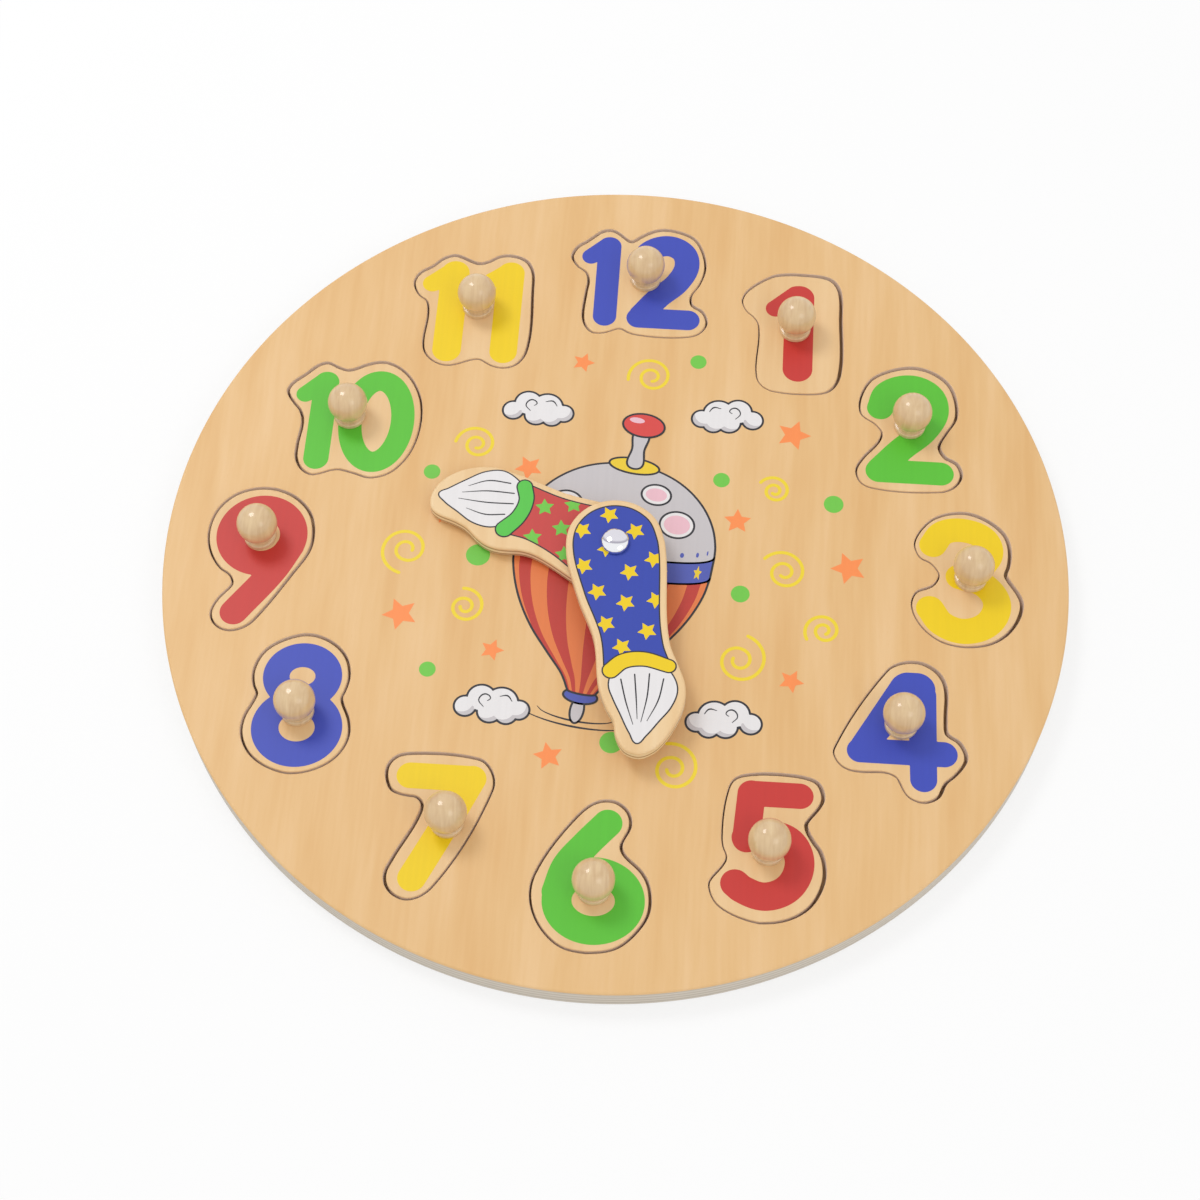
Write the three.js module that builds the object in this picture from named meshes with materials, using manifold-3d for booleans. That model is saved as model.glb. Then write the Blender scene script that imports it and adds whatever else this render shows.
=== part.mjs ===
// A wooden clock puzzle: a round board with twelve sawn number tiles, each lifted out of its pocket by
// a turned knob, and two printed hands that turn on a domed post in the middle. The origin is the
// middle of the board's underside, +Z points up out of the face and +Y points to twelve.
import * as THREE from "three";
import { mergeVertices } from "three/addons/utils/BufferGeometryUtils.js";
import Module from "manifold-3d";

const wasm = await Module();
wasm.setup();

// Driving dimensions, in millimetres
const boardRadius = 150;
const facePanelThickness = 6;
const backPanelThickness = 4;
const rimRound = 0.7;
const numberRingInset = 38;
const numberTileSpacing = 8;
const sawGap = 0.8;
const tileArris = 0.4;
const handTipClearance = 11;
const hourHandShortfall = 11;
const handHeadRadius = 16.2;
const handThickness = 4.5;
const handRound = 1;
const postRadius = 3;

// Turned knob on each tile
const knobHeight = 15.4;
const knobHeadRadius = 6.7;
const knobFlangeRadius = 5.4;
const knobFlangeThickness = 1.8;
const knobFlangeRound = 0.4;

// Wood screw that holds a knob, driven from under the tile
const knobScrewRadius = 1.4;
const knobScrewHeadRadius = 3;
const knobScrewHeadDepth = 1.7;
const knobScrewHeadInset = 0.3;
const knobScrewBite = 9;
const knobScrewPoint = 2;
const knobScrewClearance = 0.3;

// Pivot: a domed post from above and a screw from below, with a washer under each hand
const postHeadRadius = 4.7;
const postHeadRise = 3.1;
const postHeadEdge = 0.5;
const postClearance = 0.25;
const postWall = 0.9;
const postBoreEnd = 3;
const lowerWasherThickness = 0.8;
const upperWasherThickness = 0.6;
const washerRadius = 6.5;
const handPlay = 0.2;
const pivotScrewClearance = 0.25;
const pivotScrewHeadRadius = 5;
const pivotScrewHeadThickness = 1.9;
const pivotScrewHeadRound = 0.4;
const pivotScrewHeadSink = 0.4;
const pivotScrewEndGap = 1;
const recessClearance = 0.6;

// Where the hands rest, in degrees clockwise from twelve
const minuteHandDegrees = 171;
const hourHandDegrees = 286;

// One overrun serves every cut
const overrun = 1;

// Facets round each kind of circle, and the turn between two facets of a sawn edge
const rimFacets = 96;
const knobFacets = 16;
const screwFacets = 10;
const pivotFacets = 20;
const domeFacets = 4;
const sawnEdgeTurn = THREE.MathUtils.degToRad(18);
const sawnEdgeSteps = 480;

// The ring of numbers inside the rim, the tiles that share it out and the hands that end short of them
const hourCount = 12;
const numberRingRadius = boardRadius - numberRingInset;
const numberTileSize = 2 * numberRingRadius * Math.sin(Math.PI / hourCount) - numberTileSpacing;
const minuteHandReach = numberRingRadius - numberTileSize / 2 - handTipClearance;
const hourHandReach = minuteHandReach - hourHandShortfall;

// Heights that follow from the stack of pieces
const boardTop = backPanelThickness + facePanelThickness;
const hourHandBottom = boardTop + lowerWasherThickness;
const minuteHandBottom = hourHandBottom + handThickness + upperWasherThickness;
const postHeadBottom = minuteHandBottom + handThickness + handPlay;
const recessDepth = pivotScrewHeadThickness + pivotScrewHeadSink;

// How far each tile has slipped in its pocket, to the right and up, as shares of the saw gap
const tileSlipShares = {
  1: [-0.5, -0.35],
  2: [-0.25, -0.4],
  3: [-0.5, -0.2],
  4: [-0.5, -0.2],
  5: [-0.5, -0.2],
  6: [-0.15, -0.1],
  7: [0.2, -0.1],
  8: [0, -0.2],
  9: [-0.2, -0.1],
  10: [0.2, -0.2],
  11: [-0.15, -0.35],
  12: [0.1, -0.35],
};

// The saw line round each tile, counter-clockwise, as shares of the tile size from the ring point
const sawLineShares = {
  1: [
    [-0.12, -0.56], [0.22, -0.56], [0.29, -0.52], [0.34, -0.42], [0.34, -0.1], [0.34, 0.27], [0.29, 0.38],
    [0.2, 0.42], [0.04, 0.42], [-0.12, 0.41], [-0.22, 0.35], [-0.32, 0.26], [-0.35, 0.18],
    [-0.32, 0.1], [-0.26, 0.04],
    [-0.23, -0.02], [-0.23, -0.44], [-0.2, -0.51],
  ],
  2: [
    [0.24, -0.47], [0.32, -0.42], [0.36, -0.34], [0.33, -0.25], [0.25, -0.2], [0.21, -0.12], [0.24, -0.04],
    [0.32, 0.1], [0.33, 0.21], [0.28, 0.38], [0.16, 0.48], [0.02, 0.51], [-0.14, 0.47], [-0.26, 0.39],
    [-0.33, 0.23], [-0.32, 0.11], [-0.23, 0.04], [-0.18, -0.03], [-0.21, -0.12], [-0.32, -0.26],
    [-0.35, -0.34], [-0.32, -0.43], [-0.24, -0.47], [0, -0.47],
  ],
  3: [
    [0.1, -0.51], [0.26, -0.47], [0.37, -0.38], [0.44, -0.25], [0.45, -0.16], [0.4, -0.05], [0.35, 0.03],
    [0.37, 0.11], [0.38, 0.21], [0.35, 0.33], [0.25, 0.43], [0.08, 0.49], [-0.13, 0.43], [-0.25, 0.25],
    [-0.22, 0.14], [-0.14, 0.09], [-0.09, 0.01], [-0.13, -0.07], [-0.24, -0.13], [-0.27, -0.22],
    [-0.22, -0.36], [-0.08, -0.48],
  ],
  4: [
    [0.11, -0.5], [0.2, -0.46], [0.25, -0.36], [0.33, -0.28], [0.38, -0.18], [0.34, -0.08], [0.26, -0.02],
    [0.25, 0.04], [0.25, 0.31], [0.2, 0.41], [0.1, 0.47], [-0.01, 0.47], [-0.1, 0.43], [-0.15, 0.37],
    [-0.29, 0.13], [-0.43, -0.11], [-0.46, -0.19], [-0.42, -0.27], [-0.34, -0.31], [-0.13, -0.31],
    [-0.06, -0.34], [-0.03, -0.4], [0.02, -0.47],
  ],
  5: [
    [-0.06, -0.54], [0.12, -0.5], [0.24, -0.41], [0.31, -0.27], [0.32, -0.17], [0.29, -0.05], [0.22, 0.05],
    [0.2, 0.13], [0.25, 0.2], [0.3, 0.3], [0.27, 0.4], [0.18, 0.44], [-0.16, 0.44], [-0.26, 0.4],
    [-0.3, 0.31], [-0.32, 0.1], [-0.32, -0.03], [-0.29, -0.13], [-0.33, -0.21], [-0.39, -0.3],
    [-0.35, -0.42], [-0.23, -0.5],
  ],
  6: [
    [0, -0.5], [0.18, -0.46], [0.29, -0.36], [0.36, -0.24], [0.37, -0.13], [0.34, -0.01], [0.27, 0.08],
    [0.19, 0.15], [0.17, 0.21], [0.2, 0.28], [0.22, 0.35], [0.2, 0.43], [0.13, 0.49], [0.05, 0.5],
    [-0.03, 0.47], [-0.12, 0.38], [-0.24, 0.2], [-0.31, 0.08], [-0.36, -0.04], [-0.37, -0.15],
    [-0.34, -0.27], [-0.27, -0.38], [-0.16, -0.47],
  ],
  7: [
    [-0.02, -0.53], [0.06, -0.51], [0.13, -0.45], [0.18, -0.37], [0.43, 0.16], [0.46, 0.26], [0.44, 0.35],
    [0.38, 0.42], [0.29, 0.44], [-0.11, 0.44], [-0.18, 0.41], [-0.22, 0.35], [-0.22, 0.27], [-0.18, 0.19],
    [-0.1, 0.16], [-0.02, 0.15], [0.02, 0.11], [0.01, 0.02], [-0.13, -0.28], [-0.16, -0.36],
    [-0.15, -0.44], [-0.1, -0.5],
  ],
  8: [
    [-0.02, -0.56], [0.14, -0.52], [0.26, -0.43], [0.32, -0.31], [0.32, -0.2], [0.28, -0.09],
    [0.25, -0.02], [0.27, 0.05], [0.28, 0.15], [0.24, 0.28], [0.13, 0.38], [-0.02, 0.42], [-0.18, 0.37],
    [-0.29, 0.28], [-0.34, 0.15], [-0.33, 0.05], [-0.3, -0.02], [-0.32, -0.09], [-0.36, -0.2],
    [-0.36, -0.31], [-0.3, -0.43], [-0.18, -0.52],
  ],
  9: [
    [-0.23, -0.7], [-0.15, -0.67], [-0.08, -0.6], [0.01, -0.42], [0.11, -0.27], [0.19, -0.13], [0.22, 0.01],
    [0.18, 0.2], [0.05, 0.33], [-0.13, 0.38], [-0.32, 0.33], [-0.44, 0.2], [-0.48, 0.03], [-0.45, -0.12],
    [-0.37, -0.24], [-0.29, -0.3], [-0.27, -0.36], [-0.31, -0.42], [-0.36, -0.5], [-0.38, -0.58],
    [-0.36, -0.64], [-0.3, -0.69],
  ],
  10: [
    [-0.16, -0.61], [-0.08, -0.59], [0.01, -0.56], [0.12, -0.58], [0.24, -0.61], [0.36, -0.57],
    [0.46, -0.46], [0.52, -0.31], [0.54, -0.13], [0.52, 0.03], [0.45, 0.18], [0.35, 0.28], [0.24, 0.32],
    [0.14, 0.3], [0, 0.24], [-0.08, 0.26], [-0.15, 0.29], [-0.21, 0.27], [-0.28, 0.2], [-0.36, 0.13],
    [-0.4, 0.05], [-0.36, -0.03], [-0.3, -0.1], [-0.27, -0.19], [-0.28, -0.47], [-0.23, -0.57],
  ],
  11: [
    [-0.17, -0.49], [-0.08, -0.48], [0.01, -0.44], [0.08, -0.43], [0.15, -0.47], [0.24, -0.49],
    [0.33, -0.46], [0.39, -0.37], [0.4, -0.26], [0.4, 0.22], [0.39, 0.33], [0.34, 0.42], [0.24, 0.46],
    [0.15, 0.45], [0.07, 0.4], [0, 0.38], [-0.08, 0.41], [-0.17, 0.44], [-0.25, 0.41], [-0.32, 0.34],
    [-0.41, 0.27], [-0.44, 0.19], [-0.4, 0.09], [-0.34, 0.04], [-0.32, -0.03], [-0.32, -0.36],
    [-0.26, -0.45],
  ],
  12: [
    [-0.28, -0.45], [-0.19, -0.45], [-0.09, -0.41], [0.01, -0.45], [0.4, -0.45], [0.48, -0.41],
    [0.52, -0.33], [0.49, -0.24], [0.41, -0.18], [0.4, -0.11], [0.46, 0.01], [0.49, 0.17], [0.41, 0.38],
    [0.26, 0.45], [0.14, 0.45], [0.04, 0.4], [-0.05, 0.34], [-0.13, 0.4], [-0.2, 0.43], [-0.27, 0.41],
    [-0.34, 0.34], [-0.42, 0.28], [-0.46, 0.19], [-0.42, 0.11], [-0.35, 0.05], [-0.33, -0.03],
    [-0.35, -0.18], [-0.34, -0.37],
  ],
};

// Each knob's place from the ring point, as shares of the tile size
const knobPlaceShares = {
  1: [0.03, -0.04],
  2: [0.01, 0.04],
  3: [0.12, 0],
  4: [-0.03, 0.03],
  5: [-0.03, -0.06],
  6: [0.02, -0.09],
  7: [0.19, -0.01],
  8: [-0.02, -0.13],
  9: [-0.13, 0.01],
  10: [0.05, -0.13],
  11: [0.03, 0.01],
  12: [0.07, 0.02],
};

// A knob's side above its flange, as shares of its head radius and of its height above the flange
const knobSideShares = [
  [0.68, 0.01], [0.65, 0.08], [0.8, 0.2], [0.95, 0.35], [1, 0.5], [0.95, 0.66], [0.8, 0.8],
  [0.58, 0.91], [0.3, 0.98],
];

// Each hand's sides from its head to its tip and back, as shares of its head radius and its reach
const minuteHandShares = [
  [0.96, 0.12], [0.86, 0.24], [0.7, 0.35], [0.61, 0.48], [0.6, 0.59], [0.62, 0.68], [0.54, 0.76],
  [0.41, 0.83], [0.39, 0.9], [0.26, 0.97], [-0.02, 1], [-0.34, 0.98], [-0.64, 0.92], [-0.93, 0.83],
  [-1.07, 0.74], [-1.05, 0.65], [-0.91, 0.56], [-0.87, 0.46], [-0.93, 0.3], [-0.99, 0.14],
];
const hourHandShares = [
  [1, 0.14], [0.92, 0.38], [0.95, 0.51], [1.01, 0.6], [1.03, 0.71], [0.94, 0.81], [0.7, 0.91],
  [0.34, 0.98], [-0.06, 1], [-0.34, 0.97], [-0.45, 0.9], [-0.47, 0.81], [-0.58, 0.73], [-0.74, 0.66],
  [-0.78, 0.58], [-0.69, 0.49], [-0.64, 0.4], [-0.73, 0.3], [-0.89, 0.17],
];
const handHeadTurns = 6;

// A geometry as a solid, with its shared corners merged and its slivers of no area left out
function solidFrom(geometry) {
  const bare = geometry.clone();
  bare.deleteAttribute("normal");
  bare.deleteAttribute("uv");
  const merged = mergeVertices(bare);
  const triVerts = [];
  for (let k = 0; k < merged.index.count; k += 3) {
    const corners = [merged.index.getX(k), merged.index.getX(k + 1), merged.index.getX(k + 2)];
    if (new Set(corners).size === 3) triVerts.push(...corners);
  }
  const vertProperties = Float32Array.from(merged.attributes.position.array);
  return new wasm.Manifold(new wasm.Mesh({
    numProp: 3,
    vertProperties,
    triVerts: Uint32Array.from(triVerts),
  }));
}

// A solid as a geometry
function geometryFrom(solid) {
  const mesh = solid.getMesh();
  const geometry = new THREE.BufferGeometry();
  geometry.setAttribute("position", new THREE.Float32BufferAttribute(mesh.vertProperties, 3));
  geometry.setIndex(Array.from(mesh.triVerts));
  geometry.computeVertexNormals();
  return geometry;
}

// One geometry with others cut out of it
function cutFrom(geometry, cutters) {
  let solid = solidFrom(geometry);
  for (const cutter of cutters) solid = solid.subtract(solidFrom(cutter));
  return geometryFrom(solid);
}

// A profile of radii and heights turned about +Z
function turned(profile, facets) {
  const points = profile.map(([radius, height]) => new THREE.Vector2(radius, height));
  return new THREE.LatheGeometry(points, facets).rotateX(Math.PI / 2);
}

// A smooth closed line through the points, kept as a place and an outward direction at each facet
function smoothOutline(points) {
  const corners = points.map(([x, y]) => new THREE.Vector3(x, y, 0));
  const curve = new THREE.CatmullRomCurve3(corners, true, "centripetal");
  const places = curve.getSpacedPoints(sawnEdgeSteps).slice(0, -1);
  const tangents = places.map((place, k) => {
    const next = places[(k + 1) % places.length];
    const last = places[(k + places.length - 1) % places.length];
    return next.clone().sub(last).normalize();
  });
  const outline = [];
  let turn = sawnEdgeTurn;
  for (let k = 0; k < places.length; k += 1) {
    turn += tangents[k].angleTo(tangents[(k + places.length - 1) % places.length]);
    if (turn < sawnEdgeTurn) continue;
    turn = 0;
    outline.push({ place: places[k], outward: new THREE.Vector3(tangents[k].y, -tangents[k].x, 0) });
  }
  return outline;
}

// A plate whose edge steps through rings, each an offset of one outline at a height, bottom first
function edgedPlate(outline, rings) {
  const count = outline.length;
  const positions = [];
  for (const [offset, height] of rings) {
    for (const { place, outward } of outline) {
      const corner = place.clone().addScaledVector(outward, offset);
      positions.push(corner.x, corner.y, height);
    }
  }
  const index = [];
  for (let ring = 0; ring + 1 < rings.length; ring += 1) {
    for (let k = 0; k < count; k += 1) {
      const low = ring * count + k;
      const lowNext = ring * count + ((k + 1) % count);
      index.push(low, lowNext, lowNext + count, low, lowNext + count, low + count);
    }
  }
  const flat = outline.map(({ place }) => new THREE.Vector2(place.x, place.y));
  const topStart = (rings.length - 1) * count;
  for (const [a, b, c] of THREE.ShapeUtils.triangulateShape(flat, [])) {
    index.push(a, c, b, topStart + a, topStart + b, topStart + c);
  }
  const geometry = new THREE.BufferGeometry();
  geometry.setAttribute("position", new THREE.Float32BufferAttribute(positions, 3));
  geometry.setIndex(index);
  geometry.computeVertexNormals();
  return geometry;
}

// The middle of a tile on the ring of hours
function ringPoint(hour) {
  const angle = (hour / hourCount) * 2 * Math.PI;
  return new THREE.Vector2(Math.sin(angle), Math.cos(angle)).multiplyScalar(numberRingRadius);
}

// The saw line round one tile, about its ring point
function sawLine(hour) {
  return smoothOutline(sawLineShares[hour].map(([x, y]) => [x * numberTileSize, y * numberTileSize]));
}

function wood(color) {
  return new THREE.MeshStandardMaterial({ color, roughness: 0.45, metalness: 0 });
}

function steel(color, roughness) {
  return new THREE.MeshStandardMaterial({ color, roughness, metalness: 1 });
}

function piece(name, geometry, material) {
  const mesh = new THREE.Mesh(geometry, material);
  mesh.name = name;
  return mesh;
}

// The face panel: a disc with a softened top rim, twelve pockets sawn through it and the post's hole
function faceBoard() {
  const disc = turned([
    [0, backPanelThickness],
    [boardRadius, backPanelThickness],
    [boardRadius, boardTop - rimRound],
    [boardRadius - rimRound * (1 - Math.SQRT1_2), boardTop - rimRound * (1 - Math.SQRT1_2)],
    [boardRadius - rimRound, boardTop],
    [0, boardTop],
  ], rimFacets);
  const cutters = [];
  for (let hour = 1; hour <= hourCount; hour += 1) {
    const middle = ringPoint(hour);
    const rings = [[sawGap / 2, backPanelThickness - overrun], [sawGap / 2, boardTop + overrun]];
    cutters.push(edgedPlate(sawLine(hour), rings).translate(middle.x, middle.y, 0));
  }
  const holeLength = facePanelThickness + 2 * overrun;
  const hole = new THREE.CylinderGeometry(
    postRadius + postClearance, postRadius + postClearance, holeLength, pivotFacets,
  );
  cutters.push(hole.rotateX(Math.PI / 2).translate(0, 0, backPanelThickness + facePanelThickness / 2));
  return piece("face_board", cutFrom(disc, cutters), wood("#e6be8c"));
}

// The backing panel: the floor of every pocket, with a recess underneath for the pivot screw's head
function backingBoard() {
  const disc = turned([
    [0, 0],
    [boardRadius - rimRound, 0],
    [boardRadius - rimRound * (1 - Math.SQRT1_2), rimRound * (1 - Math.SQRT1_2)],
    [boardRadius, rimRound],
    [boardRadius, backPanelThickness],
    [0, backPanelThickness],
  ], rimFacets);
  const holeRadius = postRadius + postClearance;
  const recessRadius = pivotScrewHeadRadius + recessClearance;
  const recess = turned([
    [0, -overrun],
    [recessRadius, -overrun],
    [recessRadius, recessDepth],
    [holeRadius, recessDepth],
    [holeRadius, backPanelThickness + overrun],
    [0, backPanelThickness + overrun],
  ], pivotFacets);
  return piece("backing_board", cutFrom(disc, [recess]), wood("#dcb583"));
}

// A number tile: its underside lies on the pocket's floor and its top is flush with the board
function numberTile(hour) {
  const inset = -sawGap / 2;
  const plate = edgedPlate(sawLine(hour), [
    [inset, 0],
    [inset, facePanelThickness - tileArris],
    [inset - tileArris, facePanelThickness],
  ]);
  const holeRadius = knobScrewRadius + knobScrewClearance;
  const sinkRadius = knobScrewHeadRadius + knobScrewClearance;
  const sinkTop = knobScrewHeadInset + knobScrewHeadDepth + knobScrewClearance;
  const sink = turned([
    [0, -overrun],
    [sinkRadius, -overrun],
    [sinkRadius, knobScrewHeadInset],
    [holeRadius, sinkTop],
    [holeRadius, facePanelThickness + overrun],
    [0, facePanelThickness + overrun],
  ], screwFacets);
  const [x, y] = knobPlace(hour);
  return piece(`number_tile_${hour}`, cutFrom(plate, [sink.translate(x, y, 0)]), wood("#ebc594"));
}

function knobPlace(hour) {
  return knobPlaceShares[hour].map((share) => share * numberTileSize);
}

// A turned knob: a flange on the tile, a waist and a round head, with a pilot hole for its screw
function knob(hour) {
  const holeRadius = knobScrewRadius + knobScrewClearance;
  const holeTop = knobScrewBite + knobScrewClearance;
  const sideHeight = knobHeight - knobFlangeThickness;
  const profile = [
    [0, holeTop],
    [holeRadius, holeTop],
    [holeRadius, 0],
    [knobFlangeRadius, 0],
    [knobFlangeRadius, knobFlangeThickness - knobFlangeRound],
    [knobFlangeRadius - knobFlangeRound, knobFlangeThickness],
    ...knobSideShares.map(([radius, height]) => (
      [radius * knobHeadRadius, knobFlangeThickness + height * sideHeight]
    )),
    [0, knobHeight],
  ];
  return piece(`knob_${hour}`, turned(profile, knobFacets), wood("#e8c99a"));
}

// A countersunk wood screw, its head just inside the tile's underside
function knobScrew(hour) {
  const shankTop = facePanelThickness + knobScrewBite;
  const profile = [
    [0, knobScrewHeadInset],
    [knobScrewHeadRadius, knobScrewHeadInset],
    [knobScrewRadius, knobScrewHeadInset + knobScrewHeadDepth],
    [knobScrewRadius, shankTop - knobScrewPoint],
    [0, shankTop],
  ];
  return piece(`knob_screw_${hour}`, turned(profile, screwFacets), steel("#b9bcc0", 0.35));
}

// One tile with its knob and screw, seated in its pocket
function tileGroup(hour) {
  const group = new THREE.Group();
  const middle = ringPoint(hour);
  const [slipX, slipY] = tileSlipShares[hour].map((share) => share * sawGap);
  group.position.set(middle.x + slipX, middle.y + slipY, backPanelThickness);
  const turnedKnob = knob(hour);
  const screw = knobScrew(hour);
  const [x, y] = knobPlace(hour);
  turnedKnob.position.set(x, y, facePanelThickness);
  screw.position.set(x, y, 0);
  group.add(numberTile(hour), turnedKnob, screw);
  return group;
}

// A hand: a round head on the post and a sleeve-like arm that swells before its tip, with softened
// edges. It points to twelve before it is turned to its resting hour.
function hand(name, shares, reach, bottom, degrees) {
  const sides = shares.map(([x, y]) => [x * handHeadRadius, y * reach]);
  const head = [];
  for (let k = 0; k <= handHeadTurns; k += 1) {
    const angle = Math.PI * (1 + k / handHeadTurns);
    head.push([handHeadRadius * Math.cos(angle), handHeadRadius * Math.sin(angle)]);
  }
  const outline = smoothOutline([...head, ...sides]);
  const soft = handRound * (1 - Math.SQRT1_2);
  const plate = edgedPlate(outline, [
    [-soft, 0],
    [0, soft],
    [0, handThickness - handRound],
    [-soft, handThickness - soft],
    [-handRound, handThickness],
  ]);
  const boreRadius = postRadius + postClearance;
  const bore = new THREE.CylinderGeometry(boreRadius, boreRadius, handThickness + 2 * overrun, pivotFacets);
  bore.rotateX(Math.PI / 2).translate(0, 0, handThickness / 2);
  const mesh = piece(name, cutFrom(plate, [bore]), wood("#ecc996"));
  mesh.position.set(0, 0, bottom);
  mesh.rotation.z = -THREE.MathUtils.degToRad(degrees);
  return mesh;
}

// The post: a polished dome over a smooth shank that both hands turn on, bored from below
function pivotPost() {
  const boreRadius = postRadius - postWall;
  const postBottom = recessDepth + pivotScrewClearance;
  const headEdgeTop = postHeadBottom + postHeadEdge;
  const domeRise = postHeadRise - postHeadEdge;
  const dome = [];
  for (let k = 0; k <= domeFacets; k += 1) {
    const angle = (Math.PI / 2) * (k / domeFacets);
    dome.push([postHeadRadius * Math.cos(angle), headEdgeTop + domeRise * Math.sin(angle)]);
  }
  dome[domeFacets][0] = 0;
  const profile = [
    [0, postHeadBottom - postBoreEnd],
    [boreRadius, postHeadBottom - postBoreEnd],
    [boreRadius, postBottom],
    [postRadius, postBottom],
    [postRadius, postHeadBottom],
    [postHeadRadius, postHeadBottom],
    ...dome,
  ];
  return piece("pivot_post", turned(profile, pivotFacets), steel("#dfe1e4", 0.08));
}

// The pivot screw: its pan head bears on the recess, and its shank runs up inside the post
function pivotScrew() {
  const shankRadius = postRadius - postWall - pivotScrewClearance;
  const headBottom = recessDepth - pivotScrewHeadThickness;
  const shankTop = postHeadBottom - postBoreEnd - pivotScrewEndGap;
  const profile = [
    [0, headBottom],
    [pivotScrewHeadRadius - pivotScrewHeadRound, headBottom],
    [pivotScrewHeadRadius, headBottom + pivotScrewHeadRound],
    [pivotScrewHeadRadius, recessDepth],
    [shankRadius, recessDepth],
    [shankRadius, shankTop],
    [0, shankTop],
  ];
  return piece("pivot_screw", turned(profile, pivotFacets), steel("#c3c6ca", 0.3));
}

// A thin fibre washer round the post
function washer(name, bottom, thickness) {
  const holeRadius = postRadius + postClearance;
  const profile = [
    [holeRadius, bottom],
    [washerRadius, bottom],
    [washerRadius, bottom + thickness],
    [holeRadius, bottom + thickness],
    [holeRadius, bottom],
  ];
  const fibre = new THREE.MeshStandardMaterial({ color: "#efe9dc", roughness: 0.7, metalness: 0 });
  return piece(name, turned(profile, pivotFacets), fibre);
}

const clockPuzzle = new THREE.Group();
clockPuzzle.add(faceBoard(), backingBoard(), pivotPost(), pivotScrew());
clockPuzzle.add(washer("lower_washer", boardTop, lowerWasherThickness));
clockPuzzle.add(washer("upper_washer", hourHandBottom + handThickness, upperWasherThickness));
clockPuzzle.add(hand("hour_hand", hourHandShares, hourHandReach, hourHandBottom, hourHandDegrees));
clockPuzzle.add(hand("minute_hand", minuteHandShares, minuteHandReach, minuteHandBottom, minuteHandDegrees));
for (let hour = 1; hour <= hourCount; hour += 1) clockPuzzle.add(tileGroup(hour));

export default clockPuzzle;
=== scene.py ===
"""Dresses a wooden clock puzzle: a veneered board, printed number tiles on turned knobs, printed hands
and a domed post, lying on a pale floor in a plain studio. Sizes are in millimetres until a mesh is made."""
import logging
import math
from collections.abc import Sequence
from dataclasses import dataclass, field
from enum import Enum
from functools import cached_property

import bmesh
import bpy
import numpy as np
from mathutils import Matrix, Vector


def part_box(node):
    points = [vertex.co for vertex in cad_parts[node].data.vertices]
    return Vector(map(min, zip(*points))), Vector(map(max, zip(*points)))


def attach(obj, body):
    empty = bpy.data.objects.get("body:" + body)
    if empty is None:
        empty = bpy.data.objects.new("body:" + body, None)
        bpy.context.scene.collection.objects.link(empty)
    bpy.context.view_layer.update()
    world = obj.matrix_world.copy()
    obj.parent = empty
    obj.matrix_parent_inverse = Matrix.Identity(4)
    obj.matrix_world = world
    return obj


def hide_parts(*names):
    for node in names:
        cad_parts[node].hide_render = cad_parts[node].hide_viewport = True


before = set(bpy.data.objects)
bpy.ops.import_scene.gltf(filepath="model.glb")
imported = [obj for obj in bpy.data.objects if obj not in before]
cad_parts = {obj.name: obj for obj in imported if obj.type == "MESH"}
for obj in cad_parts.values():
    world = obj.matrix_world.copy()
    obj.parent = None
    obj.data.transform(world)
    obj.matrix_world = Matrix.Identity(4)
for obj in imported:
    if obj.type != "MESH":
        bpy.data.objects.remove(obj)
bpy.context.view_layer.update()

log = logging.getLogger("clock_puzzle")

MM = 0.001
HOURS = 12
# Points of a frame node that lie closer than this, in metres, are one point
WELD = 1e-6
# A corner of a frame node's outline that turns less than this, in degrees, lies on a straight facet
FACET_TURN = 1.5
# Two faces that turn more than this, in degrees, meet in a crisp edge
CRISP_TURN = 40.0
# One more ring lies this far inside a rounded edge and keeps the face beyond it flat
BED = 0.06
# A squared length as good as none, which keeps a segment's share from a division by nothing
NO_LENGTH = 1e-12
# The bare wood that a print leaves round a washer
WASHER_MARGIN = 0.4
# The length after which Blender's wave texture repeats at a scale of 1
WAVE_LENGTH = 0.314
Point = tuple[float, float]
Place = tuple[float, float, float]
Quad = tuple[float, float, float, float]
Edge = Sequence[Point]
# An upright oval: its middle, and its half-width and half-height
Oval = tuple[Point, Point]


def linear(code: str) -> Quad:
    """Turns an sRGB hex colour into linear light.

    Args:
        code: six hex digits after a hash.

    Returns:
        Linear red, green and blue, and an alpha of 1.
    """
    channels = [int(code[k : k + 2], 16) / 255 for k in (1, 3, 5)]
    red, green, blue = (c / 12.92 if c <= 0.04045 else ((c + 0.055) / 1.055) ** 2.4 for c in channels)
    return red, green, blue, 1.0


def per_mm(*sizes: float) -> tuple[float, ...]:
    """Gives the texture scales at which a pattern's grains are so many millimetres long."""
    return tuple(1 / (size * MM) for size in sizes)


def empty_tree(owner: bpy.types.Material | bpy.types.World) -> bpy.types.NodeTree:
    """Gives a material or world nodes of its own.

    Args:
        owner: the material or the world.

    Returns:
        Its node tree, with nothing in it.
    """
    owner.use_nodes = True
    owner.node_tree.nodes.clear()
    return owner.node_tree


def add_node(tree: bpy.types.NodeTree, kind: str, settings: dict | None = None,
             links: dict | None = None) -> bpy.types.Node:
    """Adds one node with its settings and its incoming links.

    Args:
        tree: the node tree that takes it.
        kind: Blender's name for the node's type.
        settings: node properties or input defaults, by name or input number.
        links: output sockets, by the name or number of the input that each feeds.

    Returns:
        The new node.
    """
    node = tree.nodes.new(kind)
    for key, value in (settings or {}).items():
        if isinstance(key, str) and key in node.bl_rna.properties:
            setattr(node, key, value)
        else:
            node.inputs[key].default_value = value
    for key, source in (links or {}).items():
        tree.links.new(source, node.inputs[key])
    return node


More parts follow.
